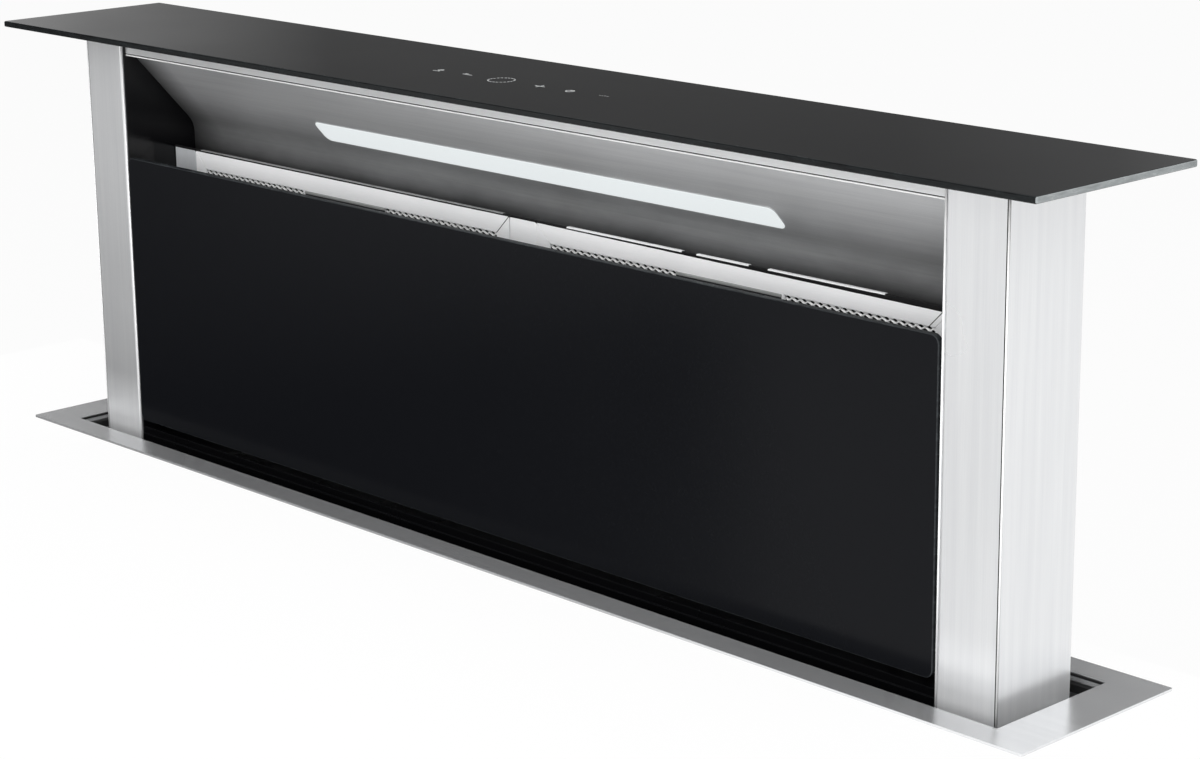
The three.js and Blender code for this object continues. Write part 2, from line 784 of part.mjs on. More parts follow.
function filterFrame(side) {
  const x0 = side > 0 ? filterInner : -filterOuter;
  const x1 = x0 + filterOuter - filterInner;
  const inset = (by, y0, y1) => block(x0 + by, x1 - by, y0, y1, filterBottom + by, filterTop - by);
  const back = filterFront + filterDepth;
  const skin = inset(0, filterFront, filterFront + filterSkin);
  const channel = inset(filterRim, filterFront, back);
  const window = inset(filterMember, filterFront - 1, back + 1);
  const groove = inset(filterGroove, filterFront + filterSkin, back - filterSkin);
  const half = filterMember / 2;
  const fine = mitreSlit / 2;
  const slit = (x, z, turn) => block(-filterMember, filterMember, -mitreSlit, mitreSlit, -fine, fine)
    .rotateY(turn).translate(x, filterFront, z);
  const diagonal = Math.PI / 4;
  const slits = [
    slit(x0 + half, filterTop - half, diagonal), slit(x1 - half, filterTop - half, -diagonal),
    slit(x0 + half, filterBottom + half, -diagonal), slit(x1 - half, filterBottom + half, diagonal),
  ];
  const middle = (x0 + x1) / 2;
  const pullTop = filterTop - filterMember + 1;
  const pull = roundedRectangle(
    middle - pullWidth / 2, middle + pullWidth / 2, pullTop - 1 - pullHeight, pullTop, 2,
  );
  const scoop = roundedRectangle(
    middle - pullWidth / 4, middle + pullWidth / 4, pullTop - pullHeight + 1, pullTop - 6, 2.4,
  );
  return joined(
    cut(joined(skin, channel), window, groove, ...slits),
    alongY(withHole(pull, scoop), filterFront, filterFront + filterSkin, 3),
  );
}

function filterMesh(side) {
  const by = filterGroove + seatGap;
  const x0 = side > 0 ? filterInner : -filterOuter;
  const x1 = x0 + filterOuter - filterInner;
  return block(
    x0 + by, x1 - by, filterFront + filterSkin + seatGap, filterFront + filterDepth - filterSkin - seatGap,
    filterBottom + by, filterTop - by,
  );
}

function footBeam() {
  const front = towerFront + 0.6 + apronSheet + 1.2;
  const low = -columnTail + footBeamRise;
  const profile = foldedSheet([
    [front + footBeamDepth, low], [front, low], [front, low + footBeamHeight],
    [front + footBeamDepth, low + footBeamHeight],
  ], columnSheet);
  const half = columnInner - seatGap;
  return alongX(profile, -half, half);
}

function glide(side) {
  const base = columnOuter + seatGap;
  const lipBack = casingOuter - casingSheet - seatGap - guideDepth + guideSheet;
  const headFront = lipBack + glideClearance;
  const headBack = casingOuter - casingSheet - seatGap - guideSheet - glideClearance;
  const neck = guideSlot - glideClearance;
  const head = guideHalf - guideSheet / 2 - glideClearance;
  const half = [
    [base, glideHalf], [base + glideBase, glideHalf], [base + glideBase, neck],
    [headFront, neck], [headFront, head], [headBack, head],
  ];
  const whole = [...half, ...half.map(([x, y]) => [x, -y]).reverse()].map(([x, y]) => [side * x, y]);
  const low = -columnTail + footBeamRise;
  return alongZ(outline(whole), low, low + glideLength);
}

// ---- fan unit: scroll housing, cover, motor, impeller ----
const blowerBack = casingFront - seatGap;
const blowerFront = blowerBack - voluteDepth;

// The scroll, drawn round the fan's axis in (x, z). It opens clockwise, then runs down to the outlet.
function voluteOutline(wall) {
  const points = [];
  const skipped = wall > 0 ? 25 : 0; // the outer skin leaves out the tongue
  const steps = 40;
  for (let k = 0; k <= steps; k++) {
    const swept = skipped + ((voluteSweep - skipped) * k) / steps;
    const angle = (voluteSweep - 360 - swept) * degrees;
    const radius = voluteStart + (volutePitch * swept) / voluteSweep + wall;
    points.push([radius * Math.cos(angle), radius * Math.sin(angle)]);
  }
  const right = voluteStart + volutePitch;
  const bottom = -outletDrop - (wall > 0 ? 0 : 1);
  points.push([right + wall, bottom], [right - outletWidth - wall, bottom]);
  if (wall === 0) {
    points.push([voluteStart * 0.68, -voluteStart * 0.86]);
  }
  return outline(points);
}

function blowerHousing() {
  const outer = alongY(voluteOutline(voluteWall), blowerFront, blowerBack);
  const cavity = alongY(voluteOutline(0), blowerFront - 1, blowerBack - voluteWall);
  const eye = rod([0, blowerBack + 1, 0], [0, blowerBack - voluteWall - 1, 0], inletRadius);
  const ring = new THREE.Shape();
  ring.absarc(0, 0, inletRadius + 2, 0, 2 * Math.PI);
  const bore = new THREE.Path();
  bore.absarc(0, 0, inletRadius, 0, 2 * Math.PI);
  const mouth = [blowerBack - 3 * voluteWall, blowerBack - voluteWall / 2];
  return joined(cut(outer, cavity, eye), alongY(withHole(ring, bore), ...mouth, roundSteps));
}

function blowerCover() {
  const plate = voluteOutline(voluteWall);
  const hole = new THREE.Path();
  hole.absarc(0, 0, rotorRadius + 2, 0, 2 * Math.PI);
  const front = blowerFront - seatGap;
  return alongY(withHole(plate, hole), front - voluteWall, front, roundSteps);
}

function motorFlange() {
  const back = blowerFront - 2 * seatGap - voluteWall;
  const front = back - motorFlangeSheet;
  return joined(
    rod([0, front, 0], [0, back, 0], motorFlangeRadius),
    rod([0, front + 1, 0], [0, front + rotorLength, 0], shaftRadius, 16),
    rod([0, front - 5, 0], [0, front + 1, 0], motorFlangeRadius / 2),
  );
}

const rotorFront = blowerFront - seatGap - voluteWall + 1;

function motorRotor() {
  const bore = shaftRadius + seatGap;
  const cap = 4;
  return turnedOnZ([
    [bore, 0], [rotorRadius - cap, 0], [rotorRadius, cap], [rotorRadius, rotorLength - cap],
    [rotorRadius - cap, rotorLength], [bore, rotorLength], [bore, 0],
  ]).rotateX(-Math.PI / 2).translate(0, rotorFront, 0);
}

function fanRing(r0, r1, y0, y1) {
  const ring = new THREE.Shape();
  ring.absarc(0, 0, r1, 0, 2 * Math.PI);
  const hole = new THREE.Path();
  hole.absarc(0, 0, r0, 0, 2 * Math.PI);
  return alongY(withHole(ring, hole), y0, y1, roundSteps);
}

function impeller() {
  const plateFront = blowerFront + fanSetBack;
  const plateBack = plateFront + fanPlate;
  const bladeBack = plateFront + bladeLength;
  const blade = (turn) => {
    const side = (by) => [0, 1, 2, 3].map((k) => {
      const part = k / 3;
      const radius = bladeInner + (impellerRadius - 1 - bladeInner) * part;
      const angle = turn - bladeSweep * degrees * part * part;
      const [c, n] = [Math.cos(angle), Math.sin(angle)];
      return [radius * c + by * n, radius * n - by * c];
    });
    const shape = outline([...side(bladeSheet / 2), ...side(-bladeSheet / 2).reverse()]);
    return alongY(shape, plateBack - 0.5, bladeBack - 0.5);
  };
  const blades = Array.from({ length: bladeCount }, (_, i) => blade((2 * Math.PI * i) / bladeCount));
  return joined(
    fanRing(bladeInner, impellerRadius, plateFront, plateBack),
    fanRing(bladeInner + 1, impellerRadius, bladeBack - 2, bladeBack), ...blades,
  );
}

function impellerDisc() {
  const plateFront = blowerFront + fanSetBack;
  const seat = rotorRadius + seatGap;
  return joined(
    fanRing(seat, bladeInner - seatGap, plateFront, plateFront + fanPlate),
    fanRing(seat, seat + fanCollarWall, plateFront, plateFront + fanCollarLength),
  );
}

// ---- outlet collar with its non-return flaps ----
const outletX = blowerX + voluteStart + volutePitch - outletWidth / 2;
const outletY = (blowerFront + blowerBack) / 2;
const collarTop = blowerZ - outletDrop - seatGap;
const spigotTop = collarTop - transitionLength;
const flapZ = spigotTop - flapDown;

// A tube whose cross-section passes from the rectangular outlet to the round spigot. Its corner points stay
// in the rectangle's corners.
function collarTube() {
  const count = 32;
  const loops = [];
  const levels = [0, 0.5, 1];
  const loop = (share, shrink, z) => Array.from({ length: count }, (_, i) => {
    const angle = (2 * Math.PI * i) / count;
    const [c, n] = [Math.cos(angle), Math.sin(angle)];
    const square = Math.max(Math.abs(c), Math.abs(n));
    const x = (outletWidth / 2 - shrink) * (c / square);
    const y = (voluteDepth / 2 - shrink) * (n / square);
    const round = (spigotRadius - shrink) * share;
    return [x * (1 - share) + round * c, y * (1 - share) + round * n, z];
  });
  levels.forEach((share) => loops.push(loop(share, 0, -transitionLength * share)));
  loops.push(loop(1, 0, -transitionLength - spigotLength));
  loops.push(loop(1, spigotWall, -transitionLength - spigotLength));
  levels.reverse().forEach((share) => loops.push(loop(share, spigotWall, -transitionLength * share)));
  const index = [];
  loops.forEach((_, k) => {
    const next = (k + 1) % loops.length;
    for (let i = 0; i < count; i++) {
      const j = (i + 1) % count;
      const [a, b, c, d] = [k * count + i, k * count + j, next * count + j, next * count + i];
      index.push(a, c, b, a, d, c);
    }
  });
  const geometry = new THREE.BufferGeometry();
  geometry.setAttribute('position', new THREE.Float32BufferAttribute(loops.flat(2), 3));
  geometry.setIndex(index);
  return geometry;
}

function ductCollar() {
  const halfX = outletWidth / 2;
  const halfY = voluteDepth / 2;
  const grow = collarFlange;
  const plate = roundedRectangle(-halfX - grow, halfX + grow, -halfY + 0.1, halfY - 0.1, 0.5);
  const inner = roundedRectangle(
    -halfX + spigotWall, halfX - spigotWall, -halfY + spigotWall, halfY - spigotWall, 1,
  );
  const reach = spigotRadius - spigotWall / 2;
  const local = flapZ - collarTop;
  return joined(
    collarTube(), alongZ(withHole(plate, inner), -collarSheet, 0, 3),
    rod([0, -reach, local], [0, reach, local], flapPin, 12),
  ).translate(outletX, outletY, collarTop);
}

// Half a disc beside the pin. Its two barrels leave room for those of the other flap, turned half round.
function ductFlap(side) {
  const radius = spigotRadius - spigotWall - flapClearance;
  const start = Math.acos(flapSlot / radius);
  const half = new THREE.Shape();
  half.absarc(0, 0, radius, -start, start);
  const plate = alongZ(half, -flapSheet / 2, flapSheet / 2, 12);
  const barrels = [[-62, -32], [2, 30]].map(([y0, y1]) => joined(
    rod([0, y0, 0], [0, y1, 0], flapBarrel, 12),
    block(0, flapSlot + 2, y0, y1, -flapSheet / 2, flapSheet / 2),
  ));
  const bore = rod([0, -radius, 0], [0, radius, 0], flapPin + seatGap, 12);
  const flap = cut(joined(plate, ...barrels), bore);
  return (side > 0 ? flap : flap.rotateZ(Math.PI)).translate(outletX, outletY, flapZ);
}

// ---- electrics ----
function controlBox() {
  const back = casingFront - seatGap;
  const front = back - controlDepth;
  const halfX = controlWidth / 2;
  const halfZ = controlHeight / 2;
  const w = controlWall;
  return cut(
    alongY(roundedRectangle(-halfX, halfX, -halfZ, halfZ, 4), front, back, 4),
    block(w - halfX, halfX - w, front - 1, back - w, w - halfZ, halfZ - w),
  ).translate(controlX, 0, controlZ);
}

function controlCover() {
  const front = casingFront - seatGap - controlDepth - seatGap;
  const halfX = controlWidth / 2;
  const halfZ = controlHeight / 2;
  const plate = roundedRectangle(-halfX, halfX, -halfZ, halfZ, 4);
  return alongY(plate, front - controlWall, front, 4).translate(controlX, 0, controlZ);
}

function cableGland() {
  const top = controlZ - controlHeight / 2 - seatGap;
  const neck = 0.72 * glandRadius;
  const hole = 0.32 * glandRadius;
  return turnedOnZ([
    [0, -4], [hole, -4], [hole, -glandLength], [neck - 2, -glandLength], [neck, -glandLength + 3],
    [neck, -8], [glandRadius, -7], [glandRadius, 0], [0, 0],
  ], 16).translate(controlX + glandShift, casingFront - seatGap - controlDepth / 2, top);
}

// ---- assembly ----
const vent = new THREE.Group();

place(vent, 'worktop_trim', worktopTrim(), brushedSteel);
place(vent, 'clamp_front_left', worktopClamp(-clampSpread, -1), galvanised);
place(vent, 'clamp_front_right', worktopClamp(clampSpread, -1), galvanised);
place(vent, 'clamp_back_left', worktopClamp(-clampSpread, 1), galvanised);
place(vent, 'clamp_back_right', worktopClamp(clampSpread, 1), galvanised);
place(vent, 'casing_front', casingFrontPanel(), galvanised);
place(vent, 'casing_back', casingBackPanel(), galvanised);
place(vent, 'casing_floor', casingFloor(), galvanised);

const tower = new THREE.Group();
vent.add(tower);

for (const [name, side] of sides) {
  place(vent, `casing_side_${name}`, casingSide(side), galvanised);
  place(vent, `guide_rail_${name}`, guideRail(side), galvanised);
  place(vent, `floor_bracket_${name}`, floorBracket(side), galvanised);

  const drive = new THREE.Group();
  drive.position.set(side * driveX, towerBackward, 0);
  vent.add(drive);
  place(drive, `drive_tube_${name}`, driveTube(), motorGrey);
  place(drive, `drive_gear_${name}`, driveGear(side), blackPlastic);
  place(drive, `drive_rod_${name}`, driveRod(), brightSteel);

  place(tower, `column_${name}`, column(side), brushedSteel);
  place(tower, `column_cover_${name}`, columnCover(side), brushedSteel);
  place(tower, `inner_cheek_${name}`, innerCheek(side), blackPaint);
  place(tower, `glide_${name}`, glide(side), blackPlastic);
  place(tower, `filter_frame_${name}`, filterFrame(side), aluminium);
  place(tower, `filter_mesh_${name}`, filterMesh(side), aluminium);
}

place(tower, 'lid_glass', lidGlass(), blackGlass);
place(tower, 'lid_carrier', lidCarrier(), galvanised);
place(tower, 'touch_module', touchModule(), blackPlastic);
place(tower, 'header_rail', headerRail(), brightSteel);
place(tower, 'deflector_panel', deflectorPanel(), brushedSteel);
place(tower, 'light_lens', lightLens(), lampWhite);
place(tower, 'light_housing', lightHousing(), aluminium);
place(tower, 'back_panel', backPanel(), brushedSteel);
place(tower, 'front_glass', frontGlass(), blackGlass);
place(tower, 'glass_backing', glassBacking(), blackPaint);
place(tower, 'lower_rail', lowerRail(), blackPaint);
place(tower, 'filter_ledge', filterLedge(), galvanised);
place(tower, 'filter_post_left', filterPost(-bayHalf), brightSteel);
place(tower, 'filter_post_middle', filterPost(-postWidth / 2), brightSteel);
place(tower, 'filter_post_right', filterPost(bayHalf - postWidth), brightSteel);
place(tower, 'foot_beam', footBeam(), galvanised);

const blower = new THREE.Group();
blower.position.set(blowerX, 0, blowerZ);
vent.add(blower);
place(blower, 'blower_housing', blowerHousing(), greyPlastic);
place(blower, 'blower_cover', blowerCover(), galvanised);
place(blower, 'motor_flange', motorFlange(), motorGrey);
place(blower, 'motor_rotor', motorRotor(), motorGrey);
place(blower, 'impeller', impeller(), blackPlastic);
place(blower, 'impeller_disc', impellerDisc(), blackPlastic);

place(vent, 'duct_collar', ductCollar(), blackPlastic);
place(vent, 'duct_flap_left', ductFlap(-1), greyPlastic);
place(vent, 'duct_flap_right', ductFlap(1), greyPlastic);
place(vent, 'control_box', controlBox(), blackPlastic);
place(vent, 'control_cover', controlCover(), blackPlastic);
place(vent, 'cable_gland', cableGland(), blackPlastic);

export default vent;
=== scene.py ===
import math

import bmesh
import bpy
from mathutils import Matrix, Vector


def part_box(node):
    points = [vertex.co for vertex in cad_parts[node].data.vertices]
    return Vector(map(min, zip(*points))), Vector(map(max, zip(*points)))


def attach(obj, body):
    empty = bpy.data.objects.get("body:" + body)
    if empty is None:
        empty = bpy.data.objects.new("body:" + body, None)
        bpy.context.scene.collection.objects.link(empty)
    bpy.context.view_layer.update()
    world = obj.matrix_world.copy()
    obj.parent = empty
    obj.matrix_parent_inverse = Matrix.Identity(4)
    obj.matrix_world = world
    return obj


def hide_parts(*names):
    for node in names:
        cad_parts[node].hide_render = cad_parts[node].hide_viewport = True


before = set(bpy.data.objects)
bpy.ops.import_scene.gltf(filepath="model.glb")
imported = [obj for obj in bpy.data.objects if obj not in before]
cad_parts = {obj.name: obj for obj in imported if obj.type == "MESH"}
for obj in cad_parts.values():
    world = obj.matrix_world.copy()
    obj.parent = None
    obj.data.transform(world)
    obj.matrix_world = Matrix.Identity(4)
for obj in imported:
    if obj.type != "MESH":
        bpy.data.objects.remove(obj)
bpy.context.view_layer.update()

print("frame loaded:", len(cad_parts), "nodes")

mm = 0.001
scene = bpy.context.scene
scene.view_settings.view_transform = "Standard"


# small helpers for shader nodes

def colour(hexCode):
    parts = [int(hexCode[i:i + 2], 16) / 255 for i in (1, 3, 5)]
    return [p / 12.92 if p <= 0.04045 else ((p + 0.055) / 1.055) ** 2.4 for p in parts] + [1.0]


def addNode(tree, kind, props=None, values=None):
    n = tree.nodes.new(kind)
    for key, value in (props or {}).items():
        setattr(n, key, value)
    for key, value in (values or {}).items():
        n.inputs[key].default_value = value
    return n


def newMaterial(name):
    mat = bpy.data.materials.new(name)
    mat.use_nodes = True
    tree = mat.node_tree
    return mat, tree, tree.nodes["Principled BSDF"]


def stretchedNoise(tree, scale, stretch, detail=2.0, roughness=0.6, offset=(0, 0, 0)):
    # noise in the object's own metres, drawn out or squeezed along each axis
    where = addNode(tree, "ShaderNodeTexCoord")
    mapping = addNode(tree, "ShaderNodeMapping", values={"Scale": stretch, "Location": offset})
    noise = addNode(tree, "ShaderNodeTexNoise",
                    values={"Scale": scale, "Detail": detail, "Roughness": roughness})
    tree.links.new(where.outputs["Object"], mapping.inputs["Vector"])
    tree.links.new(mapping.outputs["Vector"], noise.inputs["Vector"])
    return noise.outputs["Fac"]


def remap(tree, source, low, high, start=0.0, end=1.0):
    ramp = addNode(tree, "ShaderNodeMapRange",
                   values={"From Min": low, "From Max": high, "To Min": start, "To Max": end})
    tree.links.new(source, ramp.inputs["Value"])
    return ramp.outputs["Result"]


def blendColours(tree, factor, first, second):
    mix = addNode(tree, "ShaderNodeMix", {"data_type": "RGBA"}, {"A": first, "B": second})
    tree.links.new(factor, mix.inputs["Factor"])
    return mix.outputs["Result"]


def weightedSum(tree, source, share, extra):
    # source times share, plus extra
    total = addNode(tree, "ShaderNodeMath", {"operation": "MULTIPLY_ADD"}, {1: share})
    tree.links.new(source, total.inputs[0])
    tree.links.new(extra, total.inputs[2])
    return total.outputs[0]


def alongAxis(tree, axis):
    # the object's own coordinate along X, Y or Z
    where = addNode(tree, "ShaderNodeTexCoord")
    split = addNode(tree, "ShaderNodeSeparateXYZ")
    tree.links.new(where.outputs["Object"], split.inputs["Vector"])
    return split.outputs[axis]


def seenDirectly(tree):
    # 1 for rays from the camera, off a mirror or through glass, 0 for the light on the object
    path = addNode(tree, "ShaderNodeLightPath")
    seen = path.outputs["Is Camera Ray"]
    for kind in ("Is Glossy Ray", "Is Transmission Ray"):
        either = addNode(tree, "ShaderNodeMath", {"operation": "MAXIMUM"})
        tree.links.new(seen, either.inputs[0])
        tree.links.new(path.outputs[kind], either.inputs[1])
        seen = either.outputs[0]
    return seen


def edgeMask(tree, radius):
    # 1 along worn edges, 0 on the flats
    bevel = addNode(tree, "ShaderNodeBevel", {"samples": 4}, {"Radius": radius})
    geometry = addNode(tree, "ShaderNodeNewGeometry")
    dot = addNode(tree, "ShaderNodeVectorMath", {"operation": "DOT_PRODUCT"})
    tree.links.new(bevel.outputs["Normal"], dot.inputs[0])
    tree.links.new(geometry.outputs["Normal"], dot.inputs[1])
    return remap(tree, dot.outputs["Value"], 0.995, 0.8)


def addBump(tree, shader, height, strength, distance, radius=0.0):
    bump = addNode(tree, "ShaderNodeBump", values={"Strength": strength, "Distance": distance})
    tree.links.new(height, bump.inputs["Height"])
    if radius:
        bevel = addNode(tree, "ShaderNodeBevel", {"samples": 4}, {"Radius": radius})
        tree.links.new(bevel.outputs["Normal"], bump.inputs["Normal"])
    tree.links.new(bump.outputs["Normal"], shader.inputs["Normal"])


# finishes

# filmAndPaintedShade and shade are painted shade: the first darkens the panel towards the filters, the
# second is a painted dark reflection of the black cheek at its left end; each is from, to, and the share of
# the tint at each end
# foot: from, to, and how metallic the steel is at its start
steelLook = {
    "columnSteel": {"bright": "#F2F3F4", "dark": "#E8E9EB", "grain": "z", "roughness": 0.3, "round": 0.7,
                    "metal": 0.85, "arris": 0.0003, "foot": (0.0, 0.04, 0.5)},
    "trimSteel": {"bright": "#F3F4F5", "dark": "#E6E7E9", "grain": "x", "roughness": 0.17, "round": 0.93,
                  "metal": 0.78, "arris": 0.0},
    "panelSteel": {"bright": "#F0F1F2", "dark": "#E2E3E5", "grain": "x", "roughness": 0.38, "round": 0.85,
                   "metal": 0.76, "arris": 0.0003, "filmAndPaintedShade": (0.190, 0.237, 0.1, 1.0),
                   "shade": (-0.362, -0.33, 0.3, 1.0)},
    "backSteel": {"bright": "#E9EAEC", "dark": "#DADBDE", "grain": "x", "roughness": 0.36, "round": 0.8,
                  "metal": 0.7, "arris": 0.0003},
    "headerSteel": {"bright": "#F4F5F6", "dark": "#E8E9EA", "grain": "x", "roughness": 0.32, "round": 0.6,
                    "metal": 0.62, "arris": 0.0003},
}
brushing = {
    "fine": 2600, "fineDrawn": 0.006,  # hairlines, and how far they are drawn out along the grain
    "coarse": 240, "coarseDrawn": 0.03,  # the wider bands among them
    "fineShare": 0.65, "coarseShare": 0.35,
    "cloud": 7, "smoother": 0.03, "rougher": 0.05,  # slow change of roughness over the sheet
    "relief": 0.12, "depth": 0.00005,
    "nudge": (0.002, 0.003, 0.001),  # keeps a length in the tangent where the grain meets the eye
    # the edge of the painted shade on the panel wanders with these patches
    "shadePatch": 18, "shadeWander": 0.012,  # the film's edge isn't straight
}


def drawnOut(axis, amount):
    stretch = [1.0, 1.0, 1.0]
    stretch[axis] = amount
    return stretch


def paintedShadeShare(tree, look):
    # painted shade: darkens the steel towards the filters, and as a painted reflection towards the dark
    # cheek at its left end
    low, high, dull, clear = look["filmAndPaintedShade"]
    wander = brushing["shadeWander"]
    patches = stretchedNoise(tree, brushing["shadePatch"], (1, 1, 2.5), 3.0, 0.6)
    level = weightedSum(tree, patches, wander, alongAxis(tree, "Z"))
    both = addNode(tree, "ShaderNodeMath", {"operation": "MULTIPLY"})
    tree.links.new(remap(tree, alongAxis(tree, "X"), *look["shade"]), both.inputs[0])
    tree.links.new(remap(tree, level, low + wander / 2, high + wander / 2, dull, clear), both.inputs[1])
    return both.outputs[0]


def grainTangent(tree, shader, along):
    # the highlight spreads across the grain
    geometry = addNode(tree, "ShaderNodeNewGeometry")
    direction = [float(i == along) for i in range(3)]
    across = addNode(tree, "ShaderNodeVectorMath", {"operation": "CROSS_PRODUCT"}, {1: direction})
    nudged = addNode(tree, "ShaderNodeVectorMath", {"operation": "ADD"}, {1: brushing["nudge"]})
    tree.links.new(geometry.outputs["Normal"], across.inputs[0])
    tree.links.new(across.outputs["Vector"], nudged.inputs[0])
    tree.links.new(nudged.outputs["Vector"], shader.inputs["Tangent"])


def brushedSteel(name):
    look = steelLook[name]
    mat, tree, shader = newMaterial(name)
    along = "xyz".index(look["grain"])
    streaks = stretchedNoise(tree, brushing["fine"], drawnOut(along, brushing["fineDrawn"]), 3.0, 0.7)
    bands = stretchedNoise(tree, brushing["coarse"], drawnOut(along, brushing["coarseDrawn"]), 2.0, 0.5,
                           (3, 1, 7))
    cloud = stretchedNoise(tree, brushing["cloud"], (1, 1, 1), 3.0, 0.5)
    grain = weightedSum(tree, streaks, brushing["fineShare"],
                        remap(tree, bands, 0.2, 0.8, 0.0, brushing["coarseShare"]))
    tint = blendColours(tree, remap(tree, grain, 0.3, 0.7), colour(look["dark"]), colour(look["bright"]))
    # painted shade and painted reflection darken the tint towards the filters and the cheek
    if "filmAndPaintedShade" in look:
        shadedTint = addNode(tree, "ShaderNodeVectorMath", {"operation": "SCALE"})
        tree.links.new(tint, shadedTint.inputs[0])
        tree.links.new(paintedShadeShare(tree, look), shadedTint.inputs["Scale"])
        tint = shadedTint.outputs["Vector"]
    tree.links.new(tint, shader.inputs["Base Color"])
    shader.inputs["Metallic"].default_value = look["metal"]
    if "foot" in look:  # duller towards the foot, where the sheet is handled
        start, end, dull = look["foot"]
        tree.links.new(remap(tree, alongAxis(tree, "Z"), start, end, dull, look["metal"]),
                       shader.inputs["Metallic"])
    rough = look["roughness"]
    tree.links.new(remap(tree, cloud, 0.3, 0.7, rough - brushing["smoother"], rough + brushing["rougher"]),
                   shader.inputs["Roughness"])
    shader.inputs["Anisotropic"].default_value = look["round"]
    grainTangent(tree, shader, along)
    addBump(tree, shader, grain, brushing["relief"], brushing["depth"], look["arris"])
    return mat


def blackGlass(name, tint, gloss, level):
    mat, tree, shader = newMaterial(name)
    dust = stretchedNoise(tree, 900, (1, 1, 1), 2.0, 0.7)
    filmAndPaintedShade = stretchedNoise(tree, 9, (1, 1, 1), 3.0, 0.5)
    base = blendColours(tree, remap(tree, dust, 0.62, 0.78), colour(tint), colour("#141517"))
    tree.links.new(base, shader.inputs["Base Color"])
    tree.links.new(remap(tree, filmAndPaintedShade, 0.3, 0.7, gloss, gloss + 0.04), shader.inputs["Roughness"])
    shader.inputs["Specular IOR Level"].default_value = level
    addBump(tree, shader, filmAndPaintedShade, 0.01, 0.0001, 0.0005)
    return mat


def arrisGlass(name, tint, pale, level=0.5):
    # ground and polished edge of the glass, greener and lighter than its face; on the lid's ends and the
    # door's arris the lighter tone is partly painted light
    mat, tree, shader = newMaterial(name)
    ripple = stretchedNoise(tree, 420, (0.2, 0.2, 1), 3.0, 0.6)
    base = blendColours(tree, remap(tree, ripple, 0.3, 0.7), colour(tint), colour(pale))
    tree.links.new(base, shader.inputs["Base Color"])
    tree.links.new(remap(tree, ripple, 0.3, 0.7, 0.16, 0.3), shader.inputs["Roughness"])
    shader.inputs["Specular IOR Level"].default_value = level
    addBump(tree, shader, ripple, 0.05, 0.0001, 0.0003)
    return mat


def glossPaint(name, tint, worn, gloss=0.12, level=0.5):
    mat, tree, shader = newMaterial(name)
    peel = stretchedNoise(tree, 700, (1, 1, 1), 2.0, 0.5)
    filmAndPaintedShade = stretchedNoise(tree, 12, (1, 1, 1), 3.0, 0.6)
    base = blendColours(tree, edgeMask(tree, 0.0006), colour(tint), colour(worn))
    tree.links.new(base, shader.inputs["Base Color"])
    tree.links.new(remap(tree, filmAndPaintedShade, 0.3, 0.7, gloss, gloss + 0.08), shader.inputs["Roughness"])
    shader.inputs["Specular IOR Level"].default_value = level
    addBump(tree, shader, peel, 0.06, 0.0001, 0.0004)
    return mat


def galvanisedSheet(name):
    mat, tree, shader = newMaterial(name)
    where = addNode(tree, "ShaderNodeTexCoord")
    crystals = addNode(tree, "ShaderNodeTexVoronoi", {"feature": "F1"}, {"Scale": 95.0, "Randomness": 1.0})
    tree.links.new(where.outputs["Object"], crystals.inputs["Vector"])
    shade = addNode(tree, "ShaderNodeSeparateColor")
    tree.links.new(crystals.outputs["Color"], shade.inputs["Color"])
    cloud = stretchedNoise(tree, 5, (1, 1, 1), 4.0, 0.6)
    mixed = weightedSum(tree, shade.outputs["Red"], 0.6, remap(tree, cloud, 0.25, 0.75, 0.0, 0.4))
    base = blendColours(tree, mixed, colour("#A9ACAE"), colour("#C6C9CA"))
    tree.links.new(base, shader.inputs["Base Color"])
    shader.inputs["Metallic"].default_value = 0.9
    tree.links.new(remap(tree, mixed, 0, 1, 0.34, 0.5), shader.inputs["Roughness"])
    addBump(tree, shader, mixed, 0.08, 0.0001, 0.0004)
    return mat


def mouldedPlastic(name, tint, pale, grainScale=1400, gloss=0.5):
    mat, tree, shader = newMaterial(name)
    pores = stretchedNoise(tree, grainScale, (1, 1, 1), 2.0, 0.6)
    flow = stretchedNoise(tree, 10, (1, 1, 1), 3.0, 0.5)
    base = blendColours(tree, remap(tree, flow, 0.3, 0.7), colour(tint), colour(pale))
    tree.links.new(base, shader.inputs["Base Color"])
    tree.links.new(remap(tree, pores, 0.3, 0.7, gloss - 0.08, gloss + 0.1), shader.inputs["Roughness"])
    addBump(tree, shader, pores, 0.22, 0.0002, 0.0005)
    return mat


def satinMetal(name, tint, pale, gloss=0.34, scale=1800, stretch=(1, 1, 1), metal=1.0):
    mat, tree, shader = newMaterial(name)
    fine = stretchedNoise(tree, scale, stretch, 3.0, 0.7)
    cloud = stretchedNoise(tree, 14, (1, 1, 1), 3.0, 0.5)
    mixed = weightedSum(tree, fine, 0.6, remap(tree, cloud, 0.3, 0.7, 0.0, 0.4))
    base = blendColours(tree, remap(tree, mixed, 0.3, 0.7), colour(tint), colour(pale))
    tree.links.new(base, shader.inputs["Base Color"])
    shader.inputs["Metallic"].default_value = metal
    tree.links.new(remap(tree, mixed, 0.3, 0.7, gloss - 0.05, gloss + 0.06), shader.inputs["Roughness"])
    addBump(tree, shader, fine, 0.1, 0.0001, 0.0004)
    return mat


def frostedLamp(name):
    mat, tree, shader = newMaterial(name)
    frost = stretchedNoise(tree, 2500, (1, 1, 1), 2.0, 0.6)
    glow = blendColours(tree, remap(tree, frost, 0.3, 0.7), colour("#E4E9EA"), colour("#EAEFF0"))
    shade = blendColours(tree, remap(tree, frost, 0.3, 0.7), colour("#6E7273"), colour("#767A7B"))
    tree.links.new(shade, shader.inputs["Base Color"])
    tree.links.new(glow, shader.inputs["Emission Color"])
    shader.inputs["Emission Strength"].default_value = 0.84
    tree.links.new(remap(tree, frost, 0.3, 0.7, 0.35, 0.5), shader.inputs["Roughness"])
    addBump(tree, shader, frost, 0.08, 0.0001)
    return mat
